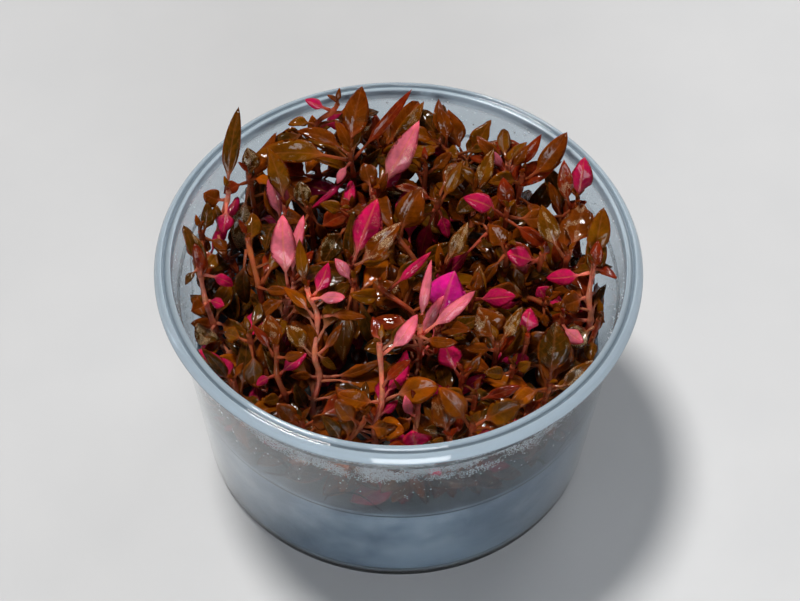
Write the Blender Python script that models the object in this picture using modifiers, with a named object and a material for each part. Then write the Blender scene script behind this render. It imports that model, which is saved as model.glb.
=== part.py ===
"""Alternanthera reineckii grown in a round tissue-culture tub.

Pieces: the moulded tub, the nutrient gel inside it and the plantlets rooted in the gel.
Lengths in the constants and in the planting plan are millimetres and angles are degrees.
The origin is the centre of the tub's base, +Z is up and the plan's -Y side is the front.
"""

import math

import bmesh
import bpy
from mathutils import Matrix, Vector
from mathutils.bvhtree import BVHTree

MM = 0.001

# Tub
TUB_HEIGHT = 56.5
RIM_RADIUS = 50.0
RIM_DROP = 2.1
RIM_CREST_RADIUS = 48.45
WALL_TOP_RADIUS = 47.15
BASE_RADIUS = 42.0
BASE_ROUNDING = 1.2
WALL_THICKNESS = 0.9
FLOOR_THICKNESS = 1.2
LEDGE_DEPTH = 8.0
LEDGE_STEP = 0.35
INNER_BEAD_RADIUS = 46.5
INNER_BEAD_WIDTH = 0.9
INNER_BEAD_DEPTH = 1.0
INNER_BEAD_LEAN = 0.1
GROOVE_DEPTH = 0.6
GROOVE_INNER_RUN = 0.3
GROOVE_OUTER_RUN = 0.2
CREST_DROP = 0.1
SHOULDER_RUN = 0.5
SHOULDER_DROP = 0.7
RIM_EDGE_HEIGHT = 0.4
RIM_UNDERCUT = 0.2
TURN_STEPS = 48

# Gel
GEL_TOP = 27.0
GAP = 0.3
GEL_FLOOR = FLOOR_THICKNESS + GAP
SOCKET_DEPTH = 4.0
CUTTER_OVERSHOOT = 1.0

# Stems
STEM_HALF_WIDTH = 0.65
NODE_HALF_HEIGHT = 0.8
BUD_HEIGHT = 1.6
COLLAR_HEIGHT = 0.8
UPRIGHTNESS = 0.5
FOOT_PULL = 0.94
FOOT_SPACING = 3.6
FOOT_LIMIT_RADIUS = 41.0
SPREAD_ROUNDS = 60
SPIRAL_STEPS = 60
SPIRAL_REACH = 0.56
LOW_NODE_SHARE = 0.45
LOW_NODE_LEAST_RUN = 9.0
RING_SIGNS = ((1, -1), (1, 1), (-1, 1), (-1, -1))

# Blades
BLADE_HALF_THICKNESS = 0.25
PLANNED_STATIONS = ((0.42, 1.0), (0.74, 0.68))
FILLING_STATIONS = ((0.48, 1.0),)
BLADE_ARCH = 0.10
BLADE_FREE_FROM = 0.04
LEAST_SIDEWAYS = 0.2
LEAST_LOOK = -0.4
CLEARANCE = 0.32
EDGE_STEPS = 4
LIGHT_DIRECTION = Vector((0.0, -0.62, 0.785))
SHIFTS = (0.0, 1.0, -1.0, 2.0, -2.0, 3.5, -3.5, 5.0, -5.0, 7.0)
TURNS = (0.0, 12.0, -12.0, 24.0, -24.0)
SHRINKS = (1.0, 0.85, 0.7)
GOLDEN_ANGLE = 137.5

OLIVE, OCHRE, BROWN, RED, MAGENTA, PINK = "olive", "ochre", "brown", "red", "magenta", "pink"

# Leaves that the rule adds: each value is its least and how far it varies from there
PAIR_SWAY = 30.0
PAIR_LENGTH = (9.0, 4.0)
PAIR_RISES = ((20.0, 20.0), (35.0, -15.0))
PAIR_WIDTHS = (4.8, 4.4)
PARTNER_LENGTH = (7.0, 3.0)
PARTNER_RISE = (20.0, 25.0)
PARTNER_WIDTH = 4.0

# Planting plan. One row for each plantlet, its nodes from the crown down. A node is its centre
# (x, y, z) and then its blades, each as (heading, rise, length, width, colour).
PLANTLETS = (
    (((-36.5, 20, 50), (78, 53, 20, 3.8, OLIVE), (258, -50, 7, 4.2, MAGENTA), (195, 15, 5, 4, BROWN)),
     ((-38.5, 17, 43), (285, 0, 7, 3, BROWN))),
    (((-41.5, 12, 47), (95, 60, 8, 3, OLIVE), (290, 15, 7, 2.4, RED), (262, -55, 8, 5, OLIVE)),),
    (((-41, 0.5, 49), (10, -40, 8, 2.6, MAGENTA), (110, 70, 8, 2.6, RED), (10, 55, 6, 3, OCHRE)),
     ((-40, -2.5, 44), (320, 25, 5, 2.6, MAGENTA), (235, 25, 5, 4.4, BROWN)),
     ((-38.5, -4.5, 39), (250, 15, 7, 6, OLIVE), (330, 10, 8, 4, OCHRE))),
    (((-32, 26, 49), (267, -57, 17, 5.2, OLIVE), (185, -35, 6, 3, RED), (100, 70, 8, 4, OLIVE)),),
    (((-10.5, 31, 51), (188, 13, 20.5, 5.2, OCHRE), (74, 56, 16, 5.6, BROWN), (41, 32, 19, 2.6, RED),
      (240, -15, 6, 2, PINK)),
     ((-10, 31, 46), (220, -15, 11.5, 1.4, MAGENTA))),
    (((-14.5, 39.5, 57), (175, 28, 6, 2.4, MAGENTA), (355, 15, 5, 2.2, BROWN)),
     ((-18.5, 38.5, 52.5), (190, -25, 8.5, 4.4, RED))),
    (((-19, 20, 46), (135, 75, 9, 4, OLIVE), (255, -5, 7, 2.8, OLIVE), (330, -60, 7, 2.6, BROWN)),),
    (((-24, 17, 49), (115, 58, 15, 4.6, OCHRE)),
     ((-25, 17, 45), (112, 58, 11, 5, PINK))),
    (((-22, -2, 47), (98, 58, 16.5, 4.4, PINK), (75, 56, 16.5, 2.8, PINK)),
     ((-23.5, -5.5, 42), (260, -60, 7, 2.8, MAGENTA))),
    (((-31, 6, 51), (268, -56, 12, 3.4, OLIVE)),
     ((-29, -0.5, 47), (50, 50, 12.5, 3, OCHRE), (340, 18, 8, 2.4, BROWN))),
    (((-18, -7.5, 52), (107, 57, 12.5, 2.8, OCHRE), (66, 17, 8, 3.6, MAGENTA), (353, 15, 7.5, 2.6, PINK)),
     ((-16.5, -9.5, 48), (155, 43, 9.5, 2.6, OCHRE), (349, 13, 10, 2.2, BROWN)),
     ((-17, -15.5, 43), (147, 45, 8.5, 4.2, OCHRE), (37, 44, 9, 2, BROWN)),
     ((-16, -18, 39), (205, 33, 7, 2, BROWN), (3, 24, 14.5, 2.2, BROWN), (20, -65, 5, 3.4, MAGENTA)),
     ((-17.5, -22, 33), (188, 75, 10, 3, OLIVE))),
    (((-30, -15, 47), (276, -54, 9.5, 4.4, OCHRE), (147, -14, 6, 3.6, OCHRE)),),
    (((-24.5, -18.5, 47), (109, 55, 8.5, 4.6, BROWN), (344, 33, 7, 2.2, BROWN), (124, 16, 8, 2, RED)),
     ((-24.5, -20.5, 43), (10, 46, 8, 3, MAGENTA), (205, -15, 4, 2, MAGENTA)),
     ((-23, -22.5, 39), (10, 25, 3, 1.8, RED), (227, 34, 6, 2.8, OCHRE))),
    (((-9, -3.5, 51), (154, 60, 7.5, 2.8, PINK), (258, -54, 16.5, 4.6, OCHRE), (289, -54, 14, 3.6, OLIVE)),),
    (((-10, 3, 48), (57, 54, 16, 6.4, MAGENTA), (28, 41, 14.5, 4.6, BROWN)),
     ((-10.5, 3.5, 43), (85, 57, 16, 2.8, OLIVE))),
    (((-5.5, 22, 49), (44, 49, 19, 5.6, PINK), (115, 58, 8, 4, BROWN), (41, 60, 7, 2.2, BROWN)),),
    (((-10.5, 18, 48), (185, 37, 7, 3, OCHRE), (165, 70, 5, 2.2, RED)),
     ((-11.5, 19.5, 43), (195, -32, 8, 5, OLIVE), (240, -15, 9.5, 5, OLIVE))),
    (((4.5, -15.5, 51), (77, 56, 15, 2.2, PINK), (21, 40, 14.3, 4.8, PINK),
      (341, 10, 8, 2.4, BROWN)),
     ((4.5, -15.5, 46), (50, 53, 12, 2.6, PINK), (0, -55, 6, 4, OLIVE), (105, 20, 6, 2, RED))),
    (((8, -12.5, 47), (66, 55, 13.2, 7.4, MAGENTA)),),
    (((19, 12, 50), (209, -42, 18, 3.8, MAGENTA), (115, -10, 6, 4, BROWN)),),
    (((13, -23.5, 46), (127, 49, 8.6, 5.5, MAGENTA), (35, 55, 7, 2.2, BROWN)),),
    (((20, -17, 48), (127, 50, 9, 6.8, BROWN), (66, 55, 10, 2.8, OCHRE), (198, 26, 7, 2.6, BROWN)),),
    (((15, -5, 49), (351, 19, 9, 4.4, MAGENTA), (60, 65, 6, 3, BROWN)),),
    (((22.5, 5.5, 51), (218, -48, 8.6, 2.4, BROWN), (304, -51, 8.4, 2.4, OCHRE), (149, 58, 7.5, 4.4, BROWN)),),
    (((22.5, 15.5, 51), (172, 28, 9.7, 4.2, MAGENTA), (102, 58, 8.2, 3.8, RED), (343, -32, 11, 3.8, BROWN),
      (11, -9, 9.5, 5, BROWN)),),
    (((23, 28, 51), (158, 59, 6, 2, PINK), (25, 47, 11, 2.8, RED), (37, 50, 7.5, 2.4, BROWN),
      (166, -25, 5, 2, RED)),),
    (((26, 26, 50), (27, 48, 14.6, 4.6, BROWN)),),
    (((37, 18.5, 50), (75, 59, 11.2, 4.8, MAGENTA), (113, 57, 10.7, 3.4, RED)),
     ((35, 20, 45), (122, 54, 8.5, 2.4, BROWN))),
    (((35, 5.5, 49), (130, 51, 12.7, 4.6, OCHRE), (73, 22, 12.7, 6.8, BROWN)),),
    (((40, 0.5, 51), (172, -21, 9.5, 3.8, MAGENTA), (75, 68, 8, 3, RED), (76, 58, 14, 4.8, OCHRE)),
     ((39.5, -2, 46), (214, 13, 7, 5, BROWN), (45, -10, 4, 3.2, OLIVE)),
     ((40, -5, 42), (191, 9, 9.4, 3, RED), (60, 35, 8, 1.8, RED))),
    (((41, -8, 44), (204, -15, 8, 5.6, OLIVE)),),
    (((30.5, -23.5, 43), (82, 55, 14, 7, OLIVE), (31, 25, 10, 4, OCHRE)),),
    (((33.5, -8.5, 46), (210, -44, 9.3, 6, BROWN), (305, 11, 7, 3.6, PINK)),),
    (((26, -16, 49), (77, 75, 8, 4.2, MAGENTA), (223, -72, 6, 3.6, MAGENTA)),),
    (((30, -4.5, 47), (189, 75, 5, 3.6, MAGENTA), (325, 17, 5, 2, BROWN), (289, -65, 5, 2, BROWN)),
     ((27, 0.5, 42), (346, 35, 8, 2.2, BROWN), (209, 10, 7, 1.6, MAGENTA))),
    (((29.5, 4.5, 50), (193, 34, 8, 4.6, MAGENTA), (170, -49, 8, 3, PINK), (34, 72, 6, 1.8, RED)),),
    (((15, -34, 44), (144, 43, 10.7, 5, BROWN), (10, 32, 10.8, 5.8, OCHRE)),),
    (((10.5, -36, 42), (116, 51, 10, 5.4, BROWN), (211, 40, 5, 2.4, OCHRE)),),
    (((15.5, -28.5, 46), (3, 28, 9.4, 2.6, RED)),),
    (((23, -21.5, 46), (200, 28, 6, 3, OCHRE), (352, 50, 5, 2.6, OCHRE)),),
    (((4, -31.5, 45), (130, 52, 5, 2.2, PINK), (178, -55, 6, 3.4, BROWN)),
     ((3.5, -36, 41), (269, 80, 7, 6.2, MAGENTA))),
    (((-3.5, -22.5, 53), (32, 44, 11, 3.2, PINK), (100, 19, 8, 2.4, RED)),
     ((-3, -29.5, 47), (1, 24, 11.7, 5.6, OCHRE), (183, 21, 8.8, 4.4, BROWN)),
     ((-4.5, -31.5, 41), (333, 26, 7, 5, BROWN))),
    (((-7, -34, 45), (165, 55, 8, 4, BROWN)),
     ((-10, -35.5, 40), (121, 72, 9, 5.6, OCHRE), (143, 44, 7.5, 3, OLIVE))),
    (((-19, -31, 40), (168, 55, 8, 4, BROWN)),),
    (((-33, -22, 41), (174, 62, 8, 4.4, OLIVE), (144, 48, 10, 2.6, MAGENTA)),),
    (((16, 21.5, 48), (59, 57, 12.8, 3.8, OCHRE)),
     ((15.5, 18.5, 43), (138, 50, 8, 4.2, BROWN))),
    (((9.5, 35.5, 50), (111, 59, 9, 3.6, BROWN)),
     ((14.5, 35, 46), (124, 56, 12.5, 4.6, BROWN), (203, 34, 9, 3, OCHRE))),
    (((5.5, 29, 49), (21, 41, 7, 3, BROWN), (179, 40, 5, 1.8, OCHRE)),),
    (((8, 19.5, 49), (46, 53, 11.6, 2.6, OCHRE), (302, -55, 7, 3, MAGENTA), (243, -55, 11.8, 3.6, MAGENTA)),),
    (((9, 4, 47), (47, 52, 11.4, 3.2, OCHRE)),),
    (((0, 11.5, 48), (52, 54, 11.7, 6.4, BROWN)),
     ((3.5, 8.5, 44), (187, 37, 5, 3, OCHRE))),
    (((-2.5, -4.5, 50), (24, 41, 12.5, 2, MAGENTA)),
     ((3.5, -6.5, 45), (161, 38, 11.4, 6.4, BROWN))),
    (((-4, 34.5, 47), (34, 50, 16, 3.6, OCHRE), (168, 58, 6, 3, OLIVE), (10, 53, 7, 4, OCHRE)),),
)

# Plain looks: colour, then roughness and for see-through pieces alpha
PLASTIC_LOOK = ((0.72, 0.78, 0.84), 0.3, 0.4)
GEL_LOOK = ((0.55, 0.60, 0.62), 0.25, 0.8)
LEAF_ROUGHNESS = 0.35
BLADE_COLOURS = {
    OLIVE: (0.16, 0.11, 0.02),
    OCHRE: (0.34, 0.19, 0.02),
    BROWN: (0.22, 0.07, 0.02),
    RED: (0.36, 0.05, 0.03),
    MAGENTA: (0.52, 0.03, 0.16),
    PINK: (0.66, 0.20, 0.24),
}


def clear_scene():
    """Removes whatever the scene holds."""
    for found in list(bpy.data.objects):
        bpy.data.objects.remove(found, do_unlink=True)


def new_collection(name):
    """Makes a collection in the scene."""
    collection = bpy.data.collections.new(name)
    bpy.context.scene.collection.children.link(collection)
    return collection


def new_material(name, colour, roughness, alpha=1.0):
    """Makes a plain material with the piece's colour."""
    material = bpy.data.materials.new(name)
    material.use_nodes = True
    shader = material.node_tree.nodes["Principled BSDF"]
    shader.inputs["Base Color"].default_value = (*colour, 1.0)
    shader.inputs["Roughness"].default_value = roughness
    shader.inputs["Metallic"].default_value = 0.0
    shader.inputs["Alpha"].default_value = alpha
    return material


def new_object(name, mesh, collection, material, parent):
    """Links a mesh to the collection as a named object under a parent."""
    made = bpy.data.objects.new(name, mesh)
    if material is not None:
        mesh.materials.append(material)
    made.parent = parent
    collection.objects.link(made)
    return made


def wall_outer_radius(height):
    """Radius of the tapering wall's outer side at a height."""
    share = height / (TUB_HEIGHT - RIM_DROP)
    return BASE_RADIUS + (WALL_TOP_RADIUS - BASE_RADIUS) * share


def wall_inner_radius(height):
    """Radius of the wall's inner side, which steps out at the stacking ledge."""
    inner = wall_outer_radius(height) - WALL_THICKNESS
    if height < TUB_HEIGHT - LEDGE_DEPTH:
        inner -= LEDGE_STEP
    return inner


def turned(name, profile, collection, material, parent):
    """Turns a profile of (radius, height) points around the Z axis."""
    mesh = bpy.data.meshes.new(name)
    points = [(radius * MM, 0.0, height * MM) for radius, height in profile]
    edges = [(index, index + 1) for index in range(len(points) - 1)]
    mesh.from_pydata(points, edges, [])
    made = new_object(name, mesh, collection, material, parent)
    screw = made.modifiers.new("Turn", "SCREW")
    screw.axis = "Z"
    screw.angle = math.tau
    screw.steps = TURN_STEPS
    screw.render_steps = TURN_STEPS
    screw.use_merge_vertices = True
    screw.merge_threshold = 0.00001
    screw.use_smooth_shade = True
    return made


def tub_profile():
    """Section of the tub, from the inner floor over the rim and down the outer side."""
    ledge = TUB_HEIGHT - LEDGE_DEPTH
    below_ledge = ledge - LEDGE_STEP
    crest_foot = TUB_HEIGHT - GROOVE_DEPTH
    rim_edge = TUB_HEIGHT - RIM_DROP
    bead_outer = INNER_BEAD_RADIUS + INNER_BEAD_WIDTH
    floor_corner = FLOOR_THICKNESS + BASE_ROUNDING
    return (
        (0.0, FLOOR_THICKNESS),
        (wall_inner_radius(FLOOR_THICKNESS) - BASE_ROUNDING, FLOOR_THICKNESS),
        (wall_inner_radius(floor_corner), floor_corner),
        (wall_inner_radius(below_ledge), below_ledge),
        (wall_inner_radius(ledge), ledge),
        (INNER_BEAD_RADIUS - INNER_BEAD_LEAN, TUB_HEIGHT - INNER_BEAD_DEPTH),
        (INNER_BEAD_RADIUS, TUB_HEIGHT),
        (bead_outer, TUB_HEIGHT),
        (bead_outer + GROOVE_INNER_RUN, crest_foot),
        (RIM_CREST_RADIUS - GROOVE_OUTER_RUN, crest_foot),
        (RIM_CREST_RADIUS, TUB_HEIGHT - CREST_DROP),
        (RIM_RADIUS - SHOULDER_RUN, TUB_HEIGHT - SHOULDER_DROP),
        (RIM_RADIUS, rim_edge + RIM_EDGE_HEIGHT),
        (RIM_RADIUS, rim_edge),
        (WALL_TOP_RADIUS, rim_edge - RIM_UNDERCUT),
        (wall_outer_radius(BASE_ROUNDING), BASE_ROUNDING),
        (BASE_RADIUS - BASE_ROUNDING, 0.0),
        (0.0, 0.0),
    )


def gel_profile():
    """Section of the gel above its own floor, with a thin gap to the tub all round."""
    corner = GEL_FLOOR + BASE_ROUNDING
    return (
        (0.0, GEL_TOP - GEL_FLOOR),
        (wall_inner_radius(GEL_TOP) - GAP, GEL_TOP - GEL_FLOOR),
        (wall_inner_radius(corner) - GAP, BASE_ROUNDING),
        (wall_inner_radius(GEL_FLOOR) - BASE_ROUNDING - GAP, 0.0),
        (0.0, 0.0),
    )


def direction(heading, rise):
    """Unit vector for a heading around Z and a rise above the level."""
    flat = math.cos(math.radians(rise))
    return Vector((
        flat * math.cos(math.radians(heading)),
        flat * math.sin(math.radians(heading)),
        math.sin(math.radians(rise)),
    ))


def spread_feet(feet):
    """Moves the stems' feet apart until none stands closer than the foot spacing."""
    for _ in range(SPREAD_ROUNDS):
        for first in range(len(feet)):
            for second in range(first):
                apart = feet[first] - feet[second]
                distance = apart.length
                if distance < FOOT_SPACING:
                    push = apart * ((FOOT_SPACING - distance) / distance / 2.0)
                    feet[first] += push
                    feet[second] -= push
        for foot in feet:
            if foot.length > FOOT_LIMIT_RADIUS:
                foot *= FOOT_LIMIT_RADIUS / foot.length
    return feet


class Node:
    """A stem node: its centre, its blades and the corners of its two end rings."""

    def __init__(self, centre, blades):
        self.centre = Vector(centre)
        self.blades = list(blades)
        self.lower = []
        self.upper = []
        self.used_sides = set()

    def side_corners(self, side):
        """Corners of one of the node's four side faces, turning left seen from outside."""
        after = (side + 1) % 4
        return [self.lower[side], self.lower[after], self.upper[after], self.upper[side]]

    def free_sides(self, towards):
        """The unused side faces, from the one that looks most towards a direction."""
        looks = []
        for side in range(4):
            corners = self.side_corners(side)
            outward = (corners[1] - corners[0]).cross(corners[3] - corners[0]).normalized()
            looks.append((outward.dot(towards), side))
        looks.sort(reverse=True)
        return [side for look, side in looks if look > LEAST_LOOK and side not in self.used_sides]


def square_ring(centre, axis, yaw, half):
    """Four corners of a square stem section, turning left seen from above."""
    across = Vector((math.cos(yaw), math.sin(yaw), 0.0))
    side = axis.cross(across).normalized()
    across = side.cross(axis).normalized()
    return [centre + (across * a + side * b) * half for a, b in RING_SIGNS]


class Plantlet:
    """One plantlet: a square stem in the gel with nodes that carry blades."""

    def __init__(self, number, rows):
        self.name = "plantlet_%02d" % number
        self.number = number
        self.nodes = [Node(row[0], row[1:]) for row in reversed(rows)]
        self.yaw = math.radians(rows[0][1][0])
        self.colour = rows[0][1][4]
        self.add_low_node()
        self.foot = self.nodes[0].centre.to_2d() * FOOT_PULL
        self.blades = []
        self.rings = []

    def add_low_node(self):
        """Adds the node of older leaves on the bare run above the gel."""
        lowest = self.nodes[0]
        run = lowest.centre.z - GEL_TOP
        if run < LOW_NODE_LEAST_RUN:
            return
        shrink = FOOT_PULL + (1.0 - FOOT_PULL) * LOW_NODE_SHARE
        flat = lowest.centre.to_2d() * shrink
        centre = (flat.x, flat.y, GEL_TOP + run * LOW_NODE_SHARE)
        self.nodes.insert(0, Node(centre, ()))

    def lay_stem(self):
        """Works out the stem's rings from the foot to the crown."""
        up = Vector((0.0, 0.0, 1.0))
        foot = Vector((self.foot.x, self.foot.y, GEL_TOP - SOCKET_DEPTH))
        collar = Vector((self.foot.x, self.foot.y, GEL_TOP + COLLAR_HEIGHT))
        self.rings = [square_ring(foot, up, self.yaw, STEM_HALF_WIDTH)]
        self.rings.append(square_ring(collar, up, self.yaw, STEM_HALF_WIDTH))
        before = collar
        for index, node in enumerate(self.nodes):
            last = index == len(self.nodes) - 1
            after = node.centre if last else self.nodes[index + 1].centre
            axis = (node.centre - before).normalized() + (after - node.centre).normalized()
            axis = (axis + up * UPRIGHTNESS).normalized()
            reach = axis * NODE_HALF_HEIGHT
            node.lower = square_ring(node.centre - reach, axis, self.yaw, STEM_HALF_WIDTH)
            node.upper = square_ring(node.centre + reach, axis, self.yaw, STEM_HALF_WIDTH)
            self.rings += [node.lower, node.upper]
            before = node.centre
        self.bud = self.nodes[-1].centre + axis * (NODE_HALF_HEIGHT + BUD_HEIGHT)

    def place(self):
        """Where the plantlet stands: its foot at the gel's surface, turned by its yaw."""
        foot = Vector((self.foot.x, self.foot.y, GEL_TOP))
        return Matrix.Translation(foot) @ Matrix.Rotation(self.yaw, 4, "Z")

    def stem_tree(self):
        """Search tree of the stem's surface."""
        return loft_tree(self.rings, self.bud)


def loft_tree(rings, tip):
    """Search tree of a four-sided loft that ends in a point."""
    points = [corner for ring in rings for corner in ring] + [tip]
    last = 4 * (len(rings) - 1)
    faces = [(3, 2, 1, 0)]
    for start in range(0, last, 4):
        for side in range(4):
            after = (side + 1) % 4
            faces.append((start + side, start + after, start + 4 + after, start + 4 + side))
    for side in range(4):
        faces.append((last + side, last + (side + 1) % 4, len(points) - 1))
    return Shape(points, faces)


class Shape:
    """A closed shape with its box, for quick clearance tests."""

    def __init__(self, points, faces):
        self.tree = BVHTree.FromPolygons(points, faces)
        self.low = [min(point[axis] for point in points) for axis in range(3)]
        self.high = [max(point[axis] for point in points) for axis in range(3)]

    def meets(self, other):
        """Whether two shapes' surfaces cross."""
        for axis in range(3):
            if self.low[axis] > other.high[axis] or other.low[axis] > self.high[axis]:
                return False
        return bool(self.tree.overlap(other.tree))


class Blade:
    """One leaf: a thin four-cornered loft from a node's side face to a point."""

    def __init__(self, root, tip, width, stations, spare):
        self.root = root
        self.tip = tip
        base = sum(root, Vector()) / 4.0
        reach = tip - base
        along = reach.normalized()
        side = along.cross(LIGHT_DIRECTION)
        if side.length < LEAST_SIDEWAYS:
            side = along.cross(Vector((0.0, 0.0, 1.0)))
        side.normalize()
        face = side.cross(along).normalized()
        self.rings = []
        for share, fullness in stations:
            lift = face * (reach.length * BLADE_ARCH * 4.0 * share * (1.0 - share))
            middle = base + reach * share + lift
            half = width / 2.0 * fullness + spare
            thick = BLADE_HALF_THICKNESS + spare
            self.rings.append([
                middle - side * half - face * thick,
                middle - side * half + face * thick,
                middle + side * half + face * thick,
                middle + side * half - face * thick,
            ])
        before = root
        for index, ring in enumerate(self.rings):
            self.rings[index] = best_turn(before, ring)
            before = self.rings[index]

    def shape(self):
        """The whole blade as a closed shape."""
        return loft_tree([self.root] + self.rings, self.tip)

    def free_shape(self):
        """The blade beyond its root as a closed shape."""
        start = [a.lerp(b, BLADE_FREE_FROM) for a, b in zip(self.root, self.rings[0])]
        return loft_tree([start] + self.rings, self.tip)

    def fits_tub(self):
        """Whether the blade stays inside the tub's wall and above the gel."""
        outline = [self.root] + self.rings
        edges = [(a, b) for lower, upper in zip(outline, outline[1:]) for a, b in zip(lower, upper)]
        edges += [(corner, self.tip) for corner in outline[-1]]
        for start, end in edges:
            for step in range(EDGE_STEPS + 1):
                point = start.lerp(end, step / EDGE_STEPS)
                if point.z < GEL_TOP + 2.0 * CLEARANCE:
                    return False
                if point.z > TUB_HEIGHT + CLEARANCE:
                    continue
                bead = INNER_BEAD_RADIUS - INNER_BEAD_LEAN
                wall = min(wall_inner_radius(min(point.z, TUB_HEIGHT)), bead)
                if point.to_2d().length > wall - 2.0 * CLEARANCE:
                    return False
        return True


def best_turn(root, ring):
    """Turns a ring's corner order so that it follows the root's without a twist."""
    root_middle = sum(root, Vector()) / 4.0
    ring_middle = sum(ring, Vector()) / 4.0
    best = None
    for turn in range(4):
        turned_ring = ring[turn:] + ring[:turn]
        stray = 0.0
        for corner, other in zip(root, turned_ring):
            stray -= (corner - root_middle).normalized().dot((other - ring_middle).normalized())
        if best is None or stray < best[0]:
            best = (stray, turned_ring)
    return best[1]


def tries(base, heading, rise, length):
    """Tip positions to try, from the planned one to ones that give way more and more."""
    for shrink in SHRINKS:
        for turn in TURNS:
            tip = base + direction(heading + turn, rise) * (length * shrink)
            for shift in SHIFTS:
                yield tip + LIGHT_DIRECTION * shift


def place_blade(plantlet, node, row, stations, others, own):
    """Adds the first try of a blade that stays clear of everything placed before it."""
    heading, rise, length, width = row[:4]
    for side in node.free_sides(direction(heading, rise)):
        root = node.side_corners(side)
        base = sum(root, Vector()) / 4.0
        for tip in tries(base, heading, rise, length):
            blade = Blade(root, tip, width, stations, CLEARANCE)
            if not blade.fits_tub():
                continue
            whole = blade.shape()
            if any(whole.meets(other) for other in others):
                continue
            placed = Blade(root, tip, width, stations, 0.0)
            free = placed.free_shape()
            if any(free.meets(other) for other in own):
                continue
            node.used_sides.add(side)
            placed.shape_kept = placed.shape()
            plantlet.blades.append(placed)
            return


def shapes_for(plantlet, stems, plantlets):
    """Shapes that a new blade of one plantlet has to clear: others' and its own."""
    others = [stems[other.name] for other in plantlets if other is not plantlet]
    for other in plantlets:
        if other is not plantlet:
            others += [blade.shape_kept for blade in other.blades]
    own = [stems[plantlet.name]] + [blade.shape_kept for blade in plantlet.blades]
    return others, own


def plant():
    """Lays every stem, then the planned blades from the largest down, then the rest."""
    plantlets = [Plantlet(index + 1, rows) for index, rows in enumerate(PLANTLETS)]
    feet = spread_feet([plantlet.foot for plantlet in plantlets])
    stems = {}
    for plantlet, foot in zip(plantlets, feet):
        plantlet.foot = foot
        settle_stem(plantlet, stems)
    planned = []
    for plantlet in plantlets:
        for node in plantlet.nodes:
            planned += [(row[2] * row[3], plantlet, node, row) for row in node.blades]
    planned.sort(key=lambda entry: -entry[0])
    for _, plantlet, node, row in planned:
        add_blade(plantlet, node, row, PLANNED_STATIONS, stems, plantlets)
    for plantlet in plantlets:
        for index, node in enumerate(plantlet.nodes):
            for row in filling_rows(plantlet, index, node):
                add_blade(plantlet, node, row, FILLING_STATIONS, stems, plantlets)
    return plantlets


def settle_stem(plantlet, stems):
    """Moves a stem's foot on a small spiral until the stem clears those laid before."""
    start = plantlet.foot.copy()
    for step in range(SPIRAL_STEPS):
        angle = math.radians(GOLDEN_ANGLE) * step
        reach = SPIRAL_REACH * math.sqrt(step)
        plantlet.foot = start + Vector((math.cos(angle), math.sin(angle))) * reach
        if plantlet.foot.length > FOOT_LIMIT_RADIUS:
            continue
        plantlet.lay_stem()
        wide = [widened(ring) for ring in plantlet.rings]
        shape = loft_tree(wide, plantlet.bud)
        if not any(shape.meets(other) for other in stems.values()):
            break
    stems[plantlet.name] = plantlet.stem_tree()


def widened(ring):
    """A stem ring grown by the clearance."""
    middle = sum(ring, Vector()) / 4.0
    return [middle + (corner - middle) * (1.0 + CLEARANCE / STEM_HALF_WIDTH) for corner in ring]


def add_blade(plantlet, node, row, stations, stems, plantlets):
    """Places one blade clear of all the shapes placed so far."""
    others, own = shapes_for(plantlet, stems, plantlets)
    place_blade(plantlet, node, row, stations, others, own)


def varied(least_and_range, share):
    """A value at a share of the way from its least over its range."""
    least, reach = least_and_range
    return least + reach * share


def filling_rows(plantlet, index, node):
    """Leaves that the rule adds: a pair on a bare node, a partner for a single leaf."""
    share = ((plantlet.number * 3 + index) * GOLDEN_ANGLE) % 360.0 / 360.0
    count = len(node.blades)
    if count == 0:
        first = math.degrees(plantlet.yaw) + 90.0 * (index % 2) + PAIR_SWAY * (share - 0.5)
        length = varied(PAIR_LENGTH, share)
        headings = (first, first + 180.0)
        rises = [varied(rise, share) for rise in PAIR_RISES]
        return [(heading, rise, length, width) for heading, rise, width in zip(headings, rises, PAIR_WIDTHS)]
    if count == 1:
        heading = node.blades[0][0] + 180.0
        return [(heading, varied(PARTNER_RISE, share), varied(PARTNER_LENGTH, share), PARTNER_WIDTH)]
    return []


def extrude_face(cage, face, corners):
    """Pushes one face out to new corners and returns the face that closes the end."""
    end = bmesh.ops.extrude_discrete_faces(cage, faces=[face])["faces"][0]
    for loop, corner in zip(end.loops, corners):
        loop.vert.co = corner
    return end


def ordered_like(face, before, corners):
    """Puts corners in the order of a face's loops, by where each loop's corner was before."""
    order = []
    for loop in face.loops:
        distances = [(loop.vert.co - corner).length for corner in before]
        order.append(corners[distances.index(min(distances))])
    return order


def plantlet_mesh(plantlet):
    """Builds a plantlet as one cage: a stem box extruded up, with blades pushed out of it."""
    cage = bmesh.new()
    corners = bmesh.ops.create_cube(cage, size=2.0)["verts"]
    for corner in corners:
        spot = RING_SIGNS.index((round(corner.co.x), round(corner.co.y)))
        ring = plantlet.rings[0] if corner.co.z < 0.0 else plantlet.rings[1]
        corner.co = ring[spot]
    cage.normal_update()
    top = max(cage.faces, key=lambda face: face.calc_center_median().z)
    before = plantlet.rings[1]
    for ring in plantlet.rings[2:]:
        top = extrude_face(cage, top, ordered_like(top, before, ring))
        before = ring
    end = extrude_face(cage, top, [plantlet.bud] * 4)
    bmesh.ops.pointmerge(cage, verts=list(end.verts), merge_co=plantlet.bud)
    for blade in plantlet.blades:
        push_out_blade(cage, blade)
    cage.transform(Matrix.Scale(MM, 4) @ plantlet.place().inverted())
    mesh = bpy.data.meshes.new(plantlet.name)
    cage.to_mesh(mesh)
    cage.free()
    return mesh


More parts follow.
